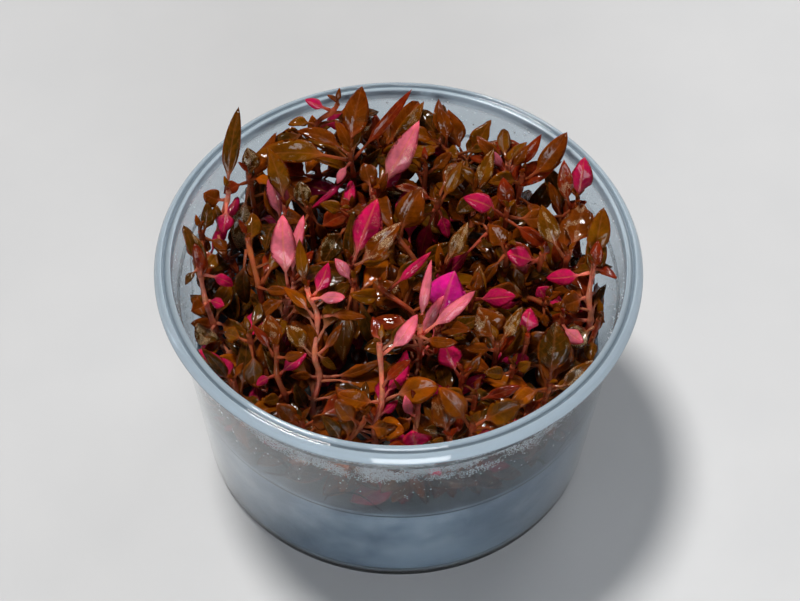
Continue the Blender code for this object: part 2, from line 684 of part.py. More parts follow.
def push_out_blade(cage, blade):
    """Pushes a blade out of the side face of the stem that its root lies on."""
    base = sum(blade.root, Vector()) / 4.0
    face = min(cage.faces, key=lambda found: (found.calc_center_median() - base).length)
    before = blade.root
    for ring in blade.rings:
        face = extrude_face(cage, face, ordered_like(face, before, ring))
        before = ring
    end = extrude_face(cage, face, [blade.tip] * 4)
    bmesh.ops.pointmerge(cage, verts=list(end.verts), merge_co=blade.tip)


def socket_cutter(plantlets, collection, parent):
    """Square holes for the stems' feet, joined in one cutter."""
    cage = bmesh.new()
    width = 2.0 * (STEM_HALF_WIDTH + GAP)
    depth = SOCKET_DEPTH + GAP
    height = depth + CUTTER_OVERSHOOT
    for plantlet in plantlets:
        lift = Matrix.Translation((0.0, 0.0, height / 2.0 - depth))
        block = plantlet.place() @ lift @ Matrix.Diagonal((width, width, height, 1.0))
        bmesh.ops.create_cube(cage, size=1.0, matrix=Matrix.Scale(MM, 4) @ block)
    mesh = bpy.data.meshes.new("foot_sockets")
    cage.to_mesh(mesh)
    cage.free()
    cutter = new_object("foot_sockets", mesh, collection, None, parent)
    cutter.hide_render = True
    cutter.display_type = "WIRE"
    return cutter


def build():
    """Builds the tub, the gel and the plantlets."""
    clear_scene()
    parts = new_collection("alternanthera_tub")
    cutters = new_collection("cutters")
    base = bpy.data.objects.new("base_centre", None)
    parts.objects.link(base)
    turned("tub", tub_profile(), parts, new_material("frosted_plastic", *PLASTIC_LOOK), base)
    gel = turned("nutrient_gel", gel_profile(), parts, new_material("gel", *GEL_LOOK), base)
    gel.location.z = GEL_FLOOR * MM
    plantlets = plant()
    sockets = gel.modifiers.new("Sockets", "BOOLEAN")
    sockets.operation = "DIFFERENCE"
    sockets.solver = "EXACT"
    sockets.object = socket_cutter(plantlets, cutters, base)
    foliage = {
        name: new_material("leaf_" + name, colour, LEAF_ROUGHNESS)
        for name, colour in BLADE_COLOURS.items()
    }
    for plantlet in plantlets:
        mesh = plantlet_mesh(plantlet)
        grown = new_object(plantlet.name, mesh, parts, foliage[plantlet.colour], base)
        grown.location = plantlet.place().translation * MM
        grown.rotation_euler.z = plantlet.yaw


build()
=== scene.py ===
import itertools
import math
import random

import bmesh
import bpy
from mathutils import Matrix, Vector, noise


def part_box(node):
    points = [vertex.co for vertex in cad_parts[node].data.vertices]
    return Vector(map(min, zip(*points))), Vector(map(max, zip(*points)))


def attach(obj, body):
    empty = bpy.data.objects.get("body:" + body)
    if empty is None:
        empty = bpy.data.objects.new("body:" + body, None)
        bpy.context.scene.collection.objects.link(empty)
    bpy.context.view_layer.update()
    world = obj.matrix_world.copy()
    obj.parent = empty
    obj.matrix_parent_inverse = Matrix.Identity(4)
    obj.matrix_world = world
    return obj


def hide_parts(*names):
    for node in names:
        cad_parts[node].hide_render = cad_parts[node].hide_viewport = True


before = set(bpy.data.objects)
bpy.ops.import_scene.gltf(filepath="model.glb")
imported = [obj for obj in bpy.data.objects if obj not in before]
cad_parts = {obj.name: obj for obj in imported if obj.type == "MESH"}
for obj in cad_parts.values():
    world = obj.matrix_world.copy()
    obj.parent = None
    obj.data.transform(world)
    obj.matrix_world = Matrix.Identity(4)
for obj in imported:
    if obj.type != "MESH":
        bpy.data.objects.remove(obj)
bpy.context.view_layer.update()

MM = 0.001
TUB_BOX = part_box("tub")
GEL_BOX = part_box("nutrient_gel")
RIM_RADIUS = TUB_BOX[1].x / MM
TUB_HEIGHT = TUB_BOX[1].z / MM
GEL_TOP = GEL_BOX[1].z / MM
GEL_FLOOR = GEL_BOX[0].z / MM

# Camera, fitted to the rim and the base in the photograph
IMAGE_WIDTH = 800
FOCAL_LENGTH = 100.0
SENSOR_WIDTH = 36.0
CAMERA_DISTANCE = 453.66
CAMERA_ELEVATION = 50.85
CAMERA_TARGET_HEIGHT = 56.5
CAMERA_PITCH = 51.994
CAMERA_ROLL = -0.57
CENTRE_SHIFT_PIXELS = -1.73

# Leaves
LEAF_STATIONS = 14
LEAF_ACROSS = 6
LEAF_HALF_THICKNESS = 0.11
PETIOLE_SHARE = 0.19
PETIOLE_HALF_WIDTH = 0.42
PALE_RIB = 0.75
FAINT_RIB = 0.22
STEM_RADIUS = 0.62
STEM_SIDES = 8
PATH_STEPS = 7
TANGENT_STEP = 0.01
BLADE_EDGE_HALF_WIDTH = 0.22
STALK_HALF_THICKNESS = 0.3
TO_CAMERA = Vector((0.0, -0.62, 0.785))
SIGHT_CELL = 3.0
SIGHT_MARGIN = 0.5
LONG_STEMS = (3, 11, 13, 18, 30, 41, 42)
PALE_STEMS = (1, 3, 8, 9, 11, 15, 16, 18, 19, 26, 30, 41, 42)
CROWD_CELL = 1.0
CROWD_GAP = 0.7
BARE_CELL = 1.6
BARE_REACH = 13.0

# Added leaves
PAIR_ATTEMPTS = 28
PAIR_SHRINK = 0.015
PAIR_LENGTHS = (12.0, 17.0)
WALL_LEAF_HEIGHTS = (30.0, 34.0, 38.0, 43.0, 48.0, 52.0, 56.0)
WALL_LEAF_TURN = 7
WALL_REACH = 17.0
LONGEST_WALL_LEAF = 14.0
SIGHT_HEIGHTS = (53.0, 50.0, 46.0, 42.0, 38.0, 34.0, 30.0)

# Tub
BASE_RADIUS = 42.0
BASE_ROUNDING = 1.2
WALL_TOP_RADIUS = 47.15
WALL_THICKNESS = 0.9
FLOOR_THICKNESS = 1.2
RIM_DROP = 2.1
LEDGE_HEIGHT = TUB_HEIGHT - 8.0
LEDGE_RUN = 1.2
LEDGE_STEP = 0.35
GROOVE_RADIUS = 47.95
TUB_STEPS = 288
GEL_STEPS = 128
GEL_GAP = 0.3

# Bead, groove, crest, shoulder and hem of the rim: radius and depth below the rim's plane
RIM_SECTION = (
    (46.4, 1.0), (46.55, 0.0), (47.3, 0.0), (47.7, 0.65), (48.2, 0.65), (48.5, 0.1), (49.4, 0.6),
    (RIM_RADIUS, 1.6), (RIM_RADIUS, RIM_DROP), (49.5, RIM_DROP), (49.2, 1.75),
)

# Studio, in metres
FLOOR_HALF_WIDTH = 40.0
LIGHT_AIM = Vector((0.0, 0.0, 0.045))

# Drops of condensation
DROP_SIDES = 6
DROP_COUNT = 15000
FINE_DROP = 0.15
FRONT_SHARE = 0.93
FRONT_RADII = (0.10, 0.12, 0.13, 0.14, 0.15)
OTHER_RADII = (0.08, 0.10, 0.13, 0.20)

# Linear colours of a leaf's lit side and of its other side
TONES = {
    "olive": ((0.090, 0.038, 0.001), (0.26, 0.022, 0.020)),
    "ochre": ((0.210, 0.074, 0.0005), (0.32, 0.050, 0.008)),
    "orange": ((0.420, 0.105, 0.0005), (0.34, 0.045, 0.006)),
    "brown": ((0.210, 0.046, 0.0005), (0.29, 0.028, 0.010)),
    "red": ((0.240, 0.022, 0.003), (0.38, 0.020, 0.035)),
    "magenta": ((0.780, 0.010, 0.125), (0.16, 0.045, 0.005)),
    "hot": ((1.000, 0.018, 0.420), (0.40, 0.010, 0.060)),
    "pink": ((0.980, 0.230, 0.320), (0.22, 0.060, 0.010)),
}
PINK_TONES = ("magenta", "hot", "pink")
PALE_STEM = (1.00, 0.36, 0.22)
DULL_STEM = (0.55, 0.13, 0.05)
STEM_FOOT_COLOUR = (0.30, 0.045, 0.012)
RULE_TONES = (
    "olive", "olive", "brown", "brown", "ochre", "red", "orange", "olive", "ochre", "olive", "brown",
    "red", "ochre", "brown", "magenta",
)
LOW_TONES = ("olive", "brown", "olive", "brown", "red", "olive", "ochre", "brown", "orange", "magenta")
O, Y, A, B, R, M, H, P = "olive", "ochre", "orange", "brown", "red", "magenta", "hot", "pink"

# The planting plan of the part's source with each leaf's colour: a node's centre and then its
# leaves as (heading, rise, length, colour, painted glint). The painted glint is how much pale painted
# highlight a leaf shows.
# A sixth value makes a leaf broader or narrower than its solid.
PLAN = (
    (((-36.5, 20, 50), (78, 53, 20, O, 0.1), (258, -50, 7, M, 0), (195, 15, 5, B, 0)),
     ((-38.5, 17, 43), (285, 0, 7, B, 0))),
    (((-41.5, 12, 47), (95, 60, 8, O, 0), (290, 15, 7, R, 0), (262, -55, 8, O, 0.3)),),
    (((-41, 0.5, 49), (10, -40, 8, M, 0), (110, 70, 8, R, 0), (10, 55, 6, Y, 0)),
     ((-40, -2.5, 44), (320, 25, 5, M, 0), (235, 25, 5, B, 0)),
     ((-38.5, -4.5, 39), (250, 15, 7, O, 0.8), (330, 10, 8, Y, 0.2))),
    (((-32, 26, 49), (267, -57, 17, O, 0.9), (185, -35, 6, R, 0), (100, 70, 8, O, 0.8)),),
    (((-10.5, 31, 51), (188, 13, 20.5, Y, 0.2), (74, 56, 16, B, 0.1), (41, 32, 19, R, 0),
      (240, -15, 6, P, 0)),
     ((-10, 31, 46), (220, -15, 11.5, M, 0))),
    (((-14.5, 39.5, 57), (175, 28, 6, M, 0), (355, 15, 5, B, 0)),
     ((-18.5, 38.5, 52.5), (190, -25, 8.5, R, 0))),
    (((-19, 20, 46), (135, 75, 9, O, 0.7), (255, -5, 7, O, 0), (330, -60, 7, B, 0)),),
    (((-24, 17, 49), (115, 58, 15, Y, 0.1)),
     ((-25, 17, 45), (112, 58, 11, P, 0.2))),
    (((-22, -2, 47), (98, 58, 16.5, P, 0.3, 1.25), (75, 56, 16.5, P, 0.2)),
     ((-23.5, -5.5, 42), (260, -60, 7, M, 0))),
    (((-31, 6, 51), (268, -56, 12, O, 0)),
     ((-29, -0.5, 47), (50, 50, 12.5, Y, 0), (340, 18, 8, B, 0))),
    (((-18, -7.5, 52), (107, 57, 12.5, Y, 0), (66, 17, 8, M, 0), (353, 15, 7.5, P, 0)),
     ((-16.5, -9.5, 48), (155, 43, 9.5, A, 0), (349, 13, 10, B, 0)),
     ((-17, -15.5, 43), (147, 45, 8.5, Y, 0.6), (37, 44, 9, B, 0)),
     ((-16, -18, 39), (205, 33, 7, B, 0), (3, 24, 14.5, B, 0), (20, -65, 5, M, 0)),
     ((-17.5, -22, 33), (188, 75, 10, O, 0))),
    (((-30, -15, 47), (276, -54, 9.5, Y, 0), (147, -14, 6, Y, 0)),),
    (((-24.5, -18.5, 47), (109, 55, 8.5, B, 0.5), (344, 33, 7, B, 0), (124, 16, 8, R, 0)),
     ((-24.5, -20.5, 43), (10, 46, 8, M, 0), (205, -15, 4, M, 0)),
     ((-23, -22.5, 39), (10, 25, 3, R, 0), (227, 34, 6, Y, 0))),
    (((-9, -3.5, 51), (154, 60, 7.5, P, 0), (258, -54, 16.5, Y, 0.3), (289, -54, 14, O, 0)),),
    (((-10, 3, 48), (57, 54, 16, M, 0.2), (28, 41, 14.5, B, 0.6)),
     ((-10.5, 3.5, 43), (85, 57, 16, O, 0))),
    (((-5.5, 22, 49), (44, 49, 19, P, 0.35), (115, 58, 8, B, 0), (41, 60, 7, B, 0)),),
    (((-10.5, 18, 48), (185, 37, 7, Y, 0), (165, 70, 5, R, 0)),
     ((-11.5, 19.5, 43), (195, -32, 8, O, 0), (240, -15, 9.5, O, 0.5))),
    (((4.5, -15.5, 51), (77, 56, 15, P, 0), (21, 40, 14.3, P, 0, 0.62), (341, 10, 8, B, 0)),
     ((4.5, -15.5, 46), (50, 53, 12, P, 0), (0, -55, 6, O, 0), (105, 20, 6, R, 0))),
    (((8, -12.5, 47), (66, 55, 13.2, H, 0.1, 1.3)),),
    (((19, 12, 50), (209, -42, 18, M, 0), (115, -10, 6, B, 0)),),
    (((13, -23.5, 46), (127, 49, 8.6, M, 0.1), (35, 55, 7, B, 0)),),
    (((20, -17, 48), (127, 50, 9, B, 0.5), (66, 55, 10, Y, 0.6), (198, 26, 7, B, 0)),),
    (((15, -5, 49), (351, 19, 9, M, 0), (60, 65, 6, B, 0)),),
    (((22.5, 5.5, 51), (218, -48, 8.6, B, 0), (304, -51, 8.4, Y, 0), (149, 58, 7.5, B, 0)),),
    (((22.5, 15.5, 51), (172, 28, 9.7, M, 0), (102, 58, 8.2, R, 0), (343, -32, 11, B, 0),
      (11, -9, 9.5, B, 0)),),
    (((23, 28, 51), (158, 59, 6, P, 0), (25, 47, 11, R, 0), (37, 50, 7.5, B, 0), (166, -25, 5, R, 0)),),
    (((26, 26, 50), (27, 48, 14.6, B, 0.1)),),
    (((37, 18.5, 50), (75, 59, 11.2, M, 0.1), (113, 57, 10.7, R, 0.5)),
     ((35, 20, 45), (122, 54, 8.5, B, 0))),
    (((35, 5.5, 49), (130, 51, 12.7, Y, 0.5), (73, 22, 12.7, B, 0.5)),),
    (((40, 0.5, 51), (172, -21, 9.5, M, 0), (75, 68, 8, R, 0), (76, 58, 14, Y, 0)),
     ((39.5, -2, 46), (214, 13, 7, B, 0), (45, -10, 4, O, 0)),
     ((40, -5, 42), (191, 9, 9.4, R, 0), (60, 35, 8, R, 0))),
    (((41, -8, 44), (204, -15, 8, O, 0.7)),),
    (((30.5, -23.5, 43), (82, 55, 14, O, 0.2), (31, 25, 10, Y, 0.8)),),
    (((33.5, -8.5, 46), (210, -44, 9.3, B, 0.2), (305, 11, 7, P, 0.3)),),
    (((26, -16, 49), (77, 75, 8, M, 0.2), (223, -72, 6, M, 0)),),
    (((30, -4.5, 47), (189, 75, 5, M, 0), (325, 17, 5, B, 0), (289, -65, 5, B, 0)),
     ((27, 0.5, 42), (346, 35, 8, B, 0), (209, 10, 7, M, 0))),
    (((29.5, 4.5, 50), (193, 34, 8, M, 0), (170, -49, 8, P, 0), (34, 72, 6, R, 0)),),
    (((15, -34, 44), (144, 43, 10.7, A, 0.1), (10, 32, 10.8, Y, 0)),),
    (((10.5, -36, 42), (116, 51, 10, B, 0.3), (211, 40, 5, Y, 0)),),
    (((15.5, -28.5, 46), (3, 28, 9.4, R, 0)),),
    (((23, -21.5, 46), (200, 28, 6, Y, 0), (352, 50, 5, Y, 0)),),
    (((4, -31.5, 45), (130, 52, 5, P, 0), (178, -55, 6, B, 0)),
     ((3.5, -36, 41), (269, 80, 7, M, 0.2))),
    (((-3.5, -22.5, 53), (32, 44, 11, P, 0), (100, 19, 8, R, 0)),
     ((-3, -29.5, 47), (1, 24, 11.7, A, 0), (183, 21, 8.8, A, 0.1)),
     ((-4.5, -31.5, 41), (333, 26, 7, A, 0))),
    (((-7, -34, 45), (165, 55, 8, A, 0)),
     ((-10, -35.5, 40), (121, 72, 9, Y, 0), (143, 44, 7.5, O, 0))),
    (((-19, -31, 40), (168, 55, 8, B, 0)),),
    (((-33, -22, 41), (174, 62, 8, O, 0), (144, 48, 10, M, 0)),),
    (((16, 21.5, 48), (59, 57, 12.8, Y, 0.6)),
     ((15.5, 18.5, 43), (138, 50, 8, B, 0))),
    (((9.5, 35.5, 50), (111, 59, 9, B, 0)),
     ((14.5, 35, 46), (124, 56, 12.5, B, 0), (203, 34, 9, Y, 0.5))),
    (((5.5, 29, 49), (21, 41, 7, B, 0), (179, 40, 5, Y, 0)),),
    (((8, 19.5, 49), (46, 53, 11.6, Y, 0.2), (302, -55, 7, M, 0), (243, -55, 11.8, M, 0)),),
    (((9, 4, 47), (47, 52, 11.4, Y, 0.9)),),
    (((0, 11.5, 48), (52, 54, 11.7, B, 0.1)),
     ((3.5, 8.5, 44), (187, 37, 5, Y, 0.4))),
    (((-2.5, -4.5, 50), (24, 41, 12.5, M, 0)),
     ((3.5, -6.5, 45), (161, 38, 11.4, B, 0.4))),
    (((-4, 34.5, 47), (34, 50, 16, Y, 0.4), (168, 58, 6, O, 0), (10, 53, 7, Y, 0.2)),),
)


def direction(heading, rise):
    """Unit vector for a heading around Z and a rise above the level, in degrees."""
    flat = math.cos(math.radians(rise))
    return Vector((
        flat * math.cos(math.radians(heading)),
        flat * math.sin(math.radians(heading)),
        math.sin(math.radians(rise)),
    ))


def wall_radius(height):
    """Radius of the tapering wall's outer side at a height."""
    return BASE_RADIUS + (WALL_TOP_RADIUS - BASE_RADIUS) * height / (TUB_HEIGHT - RIM_DROP)


def inner_radius(height):
    """Radius of the wall's inner side, which steps out at the stacking ledge."""
    return wall_radius(height) - WALL_THICKNESS - (LEDGE_STEP if height < LEDGE_HEIGHT else 0.0)


def room_radius(height):
    """Radius of the room for leaves at a height, a little inside the wall."""
    share = height / TUB_HEIGHT
    return BASE_RADIUS + (WALL_TOP_RADIUS - BASE_RADIUS) * share - WALL_THICKNESS - LEDGE_STEP


def eye_place():
    """The camera's place in millimetres."""
    elevation = math.radians(CAMERA_ELEVATION)
    return (
        0.0,
        -CAMERA_DISTANCE * math.cos(elevation),
        CAMERA_TARGET_HEIGHT + CAMERA_DISTANCE * math.sin(elevation),
    )


def smoothstep(low, high, value):
    """Smooth rise from 0 to 1 between two values."""
    share = min(1.0, max(0.0, (value - low) / (high - low)))
    return share * share * (3.0 - 2.0 * share)


def link_object(name, data):
    """Makes an object of mesh, light or camera data and links it to the scene."""
    made = bpy.data.objects.new(name, data)
    bpy.context.scene.collection.objects.link(made)
    return made


def mix(first, second, share):
    """Blend of two colours or vectors given as tuples."""
    return tuple(a + (b - a) * share for a, b in zip(first, second))


# Reading the CAD plantlets

def in_order(corners):
    """Corners in the order of their places, because a set of them has no fixed order."""
    return sorted(corners, key=lambda corner: corner.co[:])


def middle(corners):
    """Mean place of a ring's corners."""
    return sum((corner.co for corner in in_order(corners)), Vector()) / len(corners)


def is_ring(corners):
    """Whether four corners are joined to each other round in a ring."""
    if len(corners) != 4:
        return False
    for corner in corners:
        joined = sum(1 for edge in corner.link_edges if edge.other_vert(corner) in corners)
        if joined < 2:
            return False
    return True


def next_ring(ring, seen):
    """Corners joined to a ring that haven't been passed yet."""
    return {edge.other_vert(corner) for corner in ring for edge in corner.link_edges} - seen


def walk_blade(tip):
    """Rings of a blade from its tip back to its root, or an empty list for another corner."""
    rings = []
    seen = {tip}
    ring = next_ring({tip}, seen)
    while is_ring(ring):
        rings.append(ring)
        seen |= ring
        ring = next_ring(ring, seen)
    return rings if len(rings) > 1 else []


class Leaf:
    """A leaf's place: base, tip, bow of its middle line, the way its blade lies and its look."""

    def __init__(self, base, tip, bow, side, width, tone, painted_glint=0.0):
        self.base = base
        self.tip = tip
        self.bow = bow
        self.reach = tip - base
        self.side = side
        self.width = width
        self.tone = tone
        self.painted_glint = painted_glint
        self.planned = False
        self.stem_colour = DULL_STEM
        front = side.cross(self.reach).normalized()
        if front.dot(TO_CAMERA) < 0.0:
            self.side = -side
            front = -front
        self.front = front

    def centre(self, share):
        """Point on the middle line, from 0 at the base to 1 at the tip."""
        return self.base + self.reach * share + self.bow * (4.0 * share * (1.0 - share))

    def samples(self):
        """Points spread over the blade, for clearance between leaves."""
        points = []
        for share in (0.3, 0.4, 0.5, 0.6, 0.7, 0.8, 0.9, 1.0):
            half = self.width / 2.0 * blade_fullness(share)
            for place in (-0.9, -0.45, 0.0, 0.45, 0.9):
                points.append(self.centre(share) + self.side * (half * place))
        return points


def leaf_from_blade(tip, rings):
    """Reads a leaf's base, bow and width off a CAD blade."""
    base = middle(rings[-1]) / MM
    widest = rings[-2]
    corners = [corner.co / MM for corner in in_order(widest)]
    first = corners[0]
    corners.sort(key=lambda corner: (corner - first).length)
    across = corners[2] - first
    tip_point = tip.co / MM
    reach = tip_point - base
    centre = middle(widest) / MM
    share = (centre - base).dot(reach) / reach.length_squared
    lift = centre - (base + reach * share)
    bow = lift / (4.0 * share * (1.0 - share))
    return Leaf(base, tip_point, bow, across.normalized(), across.length, None)


def read_plantlet(name):
    """Stem centres from the foot to the bud, and leaves, of a CAD plantlet in millimetres."""
    cage = bmesh.new()
    cage.from_mesh(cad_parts[name].data)
    bmesh.ops.remove_doubles(cage, verts=cage.verts, dist=0.00002)
    leaves = []
    blade_corners = set()
    for corner in cage.verts:
        if len(corner.link_edges) != 4:
            continue
        rings = walk_blade(corner)
        if rings:
            leaves.append(leaf_from_blade(corner, rings))
            blade_corners.add(corner)
            for ring in rings[:-1]:
                blade_corners |= ring
    lowest = set(sorted(cage.verts, key=lambda corner: corner.co.z)[:4])
    centres = []
    seen = set(blade_corners)
    ring = lowest
    while ring:
        centres.append(middle(ring) / MM)
        seen |= ring
        ring = next_ring(ring, seen)
    cage.free()
    return centres, leaves


def match_plan(rows, leaves):
    """Gives each planned leaf's colour and painted glint to the CAD leaf whose tip lies nearest."""
    pairs = []
    for row in rows:
        node = Vector(row[0])
        for heading, rise, length, *look in row[1:]:
            tip = node + direction(heading, rise) * (length + 0.6)
            for leaf in leaves:
                pairs.append(((leaf.tip - tip).length, id(leaf), leaf, look, (row[0], heading, rise)))
    pairs.sort(key=lambda pair: (pair[0], pair[4]))
    taken = set()
    for distance, key, leaf, look, planned in pairs:
        if distance > 10.0 or key in taken or planned in taken:
            continue
        leaf.tone, leaf.painted_glint = look[:2]
        leaf.width *= look[2] if len(look) > 2 else 1.0
        leaf.planned = True
        taken |= {key, planned}


# Leaf and stem meshes

def blade_fullness(share, stalk=PETIOLE_SHARE, lean=0.82, bluntness=0.9):
    """Share of the full width along a leaf: a thin stalk, an oval blade and a drawn-out point."""
    if share <= stalk:
        return 0.0
    along = (share - stalk) / (1.0 - stalk)
    swell = math.sin(math.pi * along ** lean)
    taper = smoothstep(0.0, 0.30, along)
    return max(0.0, swell) ** bluntness * (0.35 + 0.65 * taper)


class Growth:
    """The mesh of one plantlet while it grows: points, faces and what the material reads."""

    def __init__(self):
        self.points = []
        self.faces = []
        self.colours = []
        self.places = []
        self.finishes = []

    def add_point(self, point, colour, place, finish):
        """Adds a point with its colour, its place on the leaf and its finish."""
        self.points.append(point * MM)
        self.colours.append((*colour, 1.0))
        self.places.append(place)
        self.finishes.append(finish)
        return len(self.points) - 1

    def bridge(self, lower, upper):
        """Joins two rings of points with faces."""
        count = len(lower)
        for index in range(count):
            after = (index + 1) % count
            self.faces.append((lower[index], lower[after], upper[after], upper[index]))

    def close(self, ring, tip, outward):
        """Closes a ring with faces to a tip."""
        count = len(ring)
        for index in range(count):
            after = (index + 1) % count
            face = (ring[index], ring[after], tip) if outward else (ring[after], ring[index], tip)
            self.faces.append(face)

    def finish_mesh(self, name, material):
        """Makes the object of the grown mesh."""
        mesh = bpy.data.meshes.new(name)
        mesh.from_pydata(self.points, [], self.faces)
        colour = mesh.attributes.new("leaf_colour", "FLOAT_COLOR", "POINT")
        colour.data.foreach_set("color", [value for row in self.colours for value in row])
        place = mesh.attributes.new("leaf_place", "FLOAT_VECTOR", "POINT")
        place.data.foreach_set("vector", [value for row in self.places for value in row])
        finish = mesh.attributes.new("leaf_finish", "FLOAT_VECTOR", "POINT")
        finish.data.foreach_set("vector", [value for row in self.finishes for value in row])
        mesh.materials.append(material)
        mesh.shade_smooth()
        return link_object(name, mesh)


def leaf_shape(leaf, chance):
    """How this leaf folds, twists, waves and curls, picked at random within what real ones do."""
    underside = leaf.tone in PINK_TONES
    freedom = 0.4 if leaf.planned else 1.0
    return {
        "fold": math.radians(chance.uniform(6.0, 14.0 + 18.0 * freedom)) * (-1.0 if underside else 1.0),
        "twist": math.radians(chance.uniform(-44.0, 44.0)) * freedom,
        "wave": chance.uniform(0.05, 0.13),
        "waves": chance.uniform(0.9, 2.4),
        "phase": chance.uniform(0.0, math.tau),
        "curl": chance.uniform(-0.05, 0.20),
        "sickle": chance.uniform(-0.07, 0.07),
        "droop": chance.uniform(-0.02, 0.14) * freedom,
        "uneven": chance.uniform(-0.14, 0.14),
        "stalk": chance.uniform(0.19, 0.29),
        "lean": chance.uniform(0.72, 0.98),
        "bluntness": chance.uniform(0.62, 0.95),
        "brightness": 1.0 + chance.uniform(-0.34, 0.30) * (0.3 if leaf.planned else 1.0),
        "seed": chance.random(),
        "blush": chance.uniform(0.1, 1.0),
    }


def leaf_colours(leaf, shape, share, front_side):
    """Colour of a leaf at a share of its length, on its front or back."""
    front, back = TONES[leaf.tone]
    colour = front if front_side else back
    colour = tuple(value * shape["brightness"] for value in colour)
    towards_tip = smoothstep(0.55, 1.0, share)
    warm = mix(colour, (colour[0] * 1.15, colour[1] * 0.75, colour[2] * 0.9), towards_tip * 0.7)
    if leaf.tone not in PINK_TONES:
        towards_base = 1.0 - smoothstep(shape["stalk"], 0.62, share)
        warm = mix(warm, (colour[0] * 1.7, colour[1] * 1.05, colour[2]), towards_base * shape["blush"])
    stalk = 1.0 - smoothstep(shape["stalk"] * 0.8, shape["stalk"] * 1.8, share)
    return mix(warm, mix(leaf.stem_colour, colour, 0.15 if leaf.planned else 0.45), stalk)


def bent_centre(leaf, shape, share):
    """Point on the leaf's middle line with its sideways bend, its curl and the droop of its point."""
    length = leaf.reach.length
    sideways = shape["sickle"] * math.sin(math.pi * share)
    rise = shape["curl"] * max(0.0, share - 0.5) ** 2 * -4.0 * (1.0 - share)
    rise -= shape["droop"] * max(0.0, share - 0.45) ** 2 * 3.3
    return leaf.centre(share) + leaf.side * (length * sideways) + leaf.front * (length * rise)


def add_leaf(growth, leaf, chance):
    """Adds one leaf as a closed thin blade on a stalk."""
    shape = leaf_shape(leaf, chance)
    # Painted shade: a leaf lower in the tub is coloured darker, from 47 mm down to 0.42 of its colour at
    # 32 mm and below.
    depth_shade = 0.42 + 0.58 * smoothstep(32.0, 47.0, leaf.centre(0.6).z)
    shape["brightness"] *= depth_shade
    rib_strength = PALE_RIB if leaf.tone in PINK_TONES else FAINT_RIB
    facing = math.copysign(1.0, leaf.side.cross(leaf.reach).dot(leaf.front))
    across = [2.0 * index / LEAF_ACROSS - 1.0 for index in range(LEAF_ACROSS + 1)]
    before = None
    for station in range(LEAF_STATIONS):
        share = station / LEAF_STATIONS
        centre = bent_centre(leaf, shape, share)
        ahead = bent_centre(leaf, shape, share + TANGENT_STEP)
        tangent = (ahead - bent_centre(leaf, shape, share - TANGENT_STEP)).normalized()
        side = Matrix.Rotation(shape["twist"] * (share - 0.35), 3, tangent) @ leaf.side
        side = (side - tangent * side.dot(tangent)).normalized()
        front = side.cross(tangent).normalized() * facing
        full = blade_fullness(share, shape["stalk"], shape["lean"], shape["bluntness"])
        half = max(leaf.width / 2.0 * full, PETIOLE_HALF_WIDTH * (1.0 - 0.3 * share / shape["stalk"]))
        if share > shape["stalk"]:
            half = max(leaf.width / 2.0 * full, BLADE_EDGE_HALF_WIDTH)
        blade = smoothstep(0.3, 1.3, half)
        thick = STALK_HALF_THICKNESS + (LEAF_HALF_THICKNESS - STALK_HALF_THICKNESS) * blade
        ring = []
        for front_side in (True, False):
            steps = across if front_side else list(reversed(across))[1:-1]
            for place in steps:
                lift = abs(place) * half * math.sin(shape["fold"]) * blade
                spread = place * half * math.cos(shape["fold"] * blade)
                spread *= 1.0 + math.copysign(shape["uneven"], place) * blade
                wave = math.sin(shape["waves"] * math.tau * share + shape["phase"] + place * 1.2)
                lift += wave * shape["wave"] * leaf.width * place * place * blade
                rounding = math.sqrt(max(0.0, 1.0 - place * place)) * thick
                rib = max(0.0, 1.0 - abs(place) * 3.0) * blade
                depth = rounding - rib * 0.10 if front_side else -rounding - rib * 0.14
                point = centre + side * spread + front * (lift + depth)
                colour = leaf_colours(leaf, shape, share, front_side)
                finish = (leaf.painted_glint if front_side else 0.0, shape["seed"], blade)
                ring.append(growth.add_point(point, colour, (place, share, rib_strength), finish))
        if before is None:
            growth.close(ring, growth.add_point(centre, leaf.stem_colour, (0, 0, 0), (0, 0, 0)), False)
        else:
            growth.bridge(before, ring)
        before = ring
    tip_colour = leaf_colours(leaf, shape, 1.0, True)
    tip_finish = (leaf.painted_glint, shape["seed"], 1.0)
    tip_place = (0.0, 1.0, rib_strength)
    tip = growth.add_point(bent_centre(leaf, shape, 1.0), tip_colour, tip_place, tip_finish)
    growth.close(before, tip, True)


def add_stem(growth, path, top_colour, chance):
    """Adds the stem as a round tube with swollen nodes."""
    node_heights = [centre.z for centre, tangent in path[PATH_STEPS::PATH_STEPS]]
    before = None
    for index, (centre, tangent) in enumerate(path):
        share = index / (len(path) - 1)
        nearest = min(abs(centre.z - height) for height in node_heights)
        swell = 1.0 + 0.35 * math.exp(-(nearest / 0.8) ** 2)
        radius = STEM_RADIUS * swell * (1.15 - 0.45 * share)
        side = tangent.orthogonal().normalized() if before is None else side_before
        side = (side - tangent * side.dot(tangent)).normalized()
        side_before = side
        across = tangent.cross(side)
        colour = mix(STEM_FOOT_COLOUR, top_colour, smoothstep(-0.5, 0.7, share))
        colour = tuple(value * (0.85 + 0.3 * chance.random()) for value in colour)
        ring = []
        for turn in range(STEM_SIDES):
            angle = math.tau * turn / STEM_SIDES
            offset = (side * math.cos(angle) + across * math.sin(angle)) * radius
            place = (math.cos(angle), share, -1.0)
            ring.append(growth.add_point(centre + offset, colour, place, (0.0, share, 0.0)))
        if before is None:
            growth.close(ring, growth.add_point(centre, colour, (0, 0, -1), (0, 0, 0)), False)
        else:
            growth.bridge(before, ring)
        before = ring
    tip = path[-1][0] + path[-1][1] * 0.4
    growth.close(before, growth.add_point(tip, top_colour, (0, 1, -1), (0, 1, 0)), True)


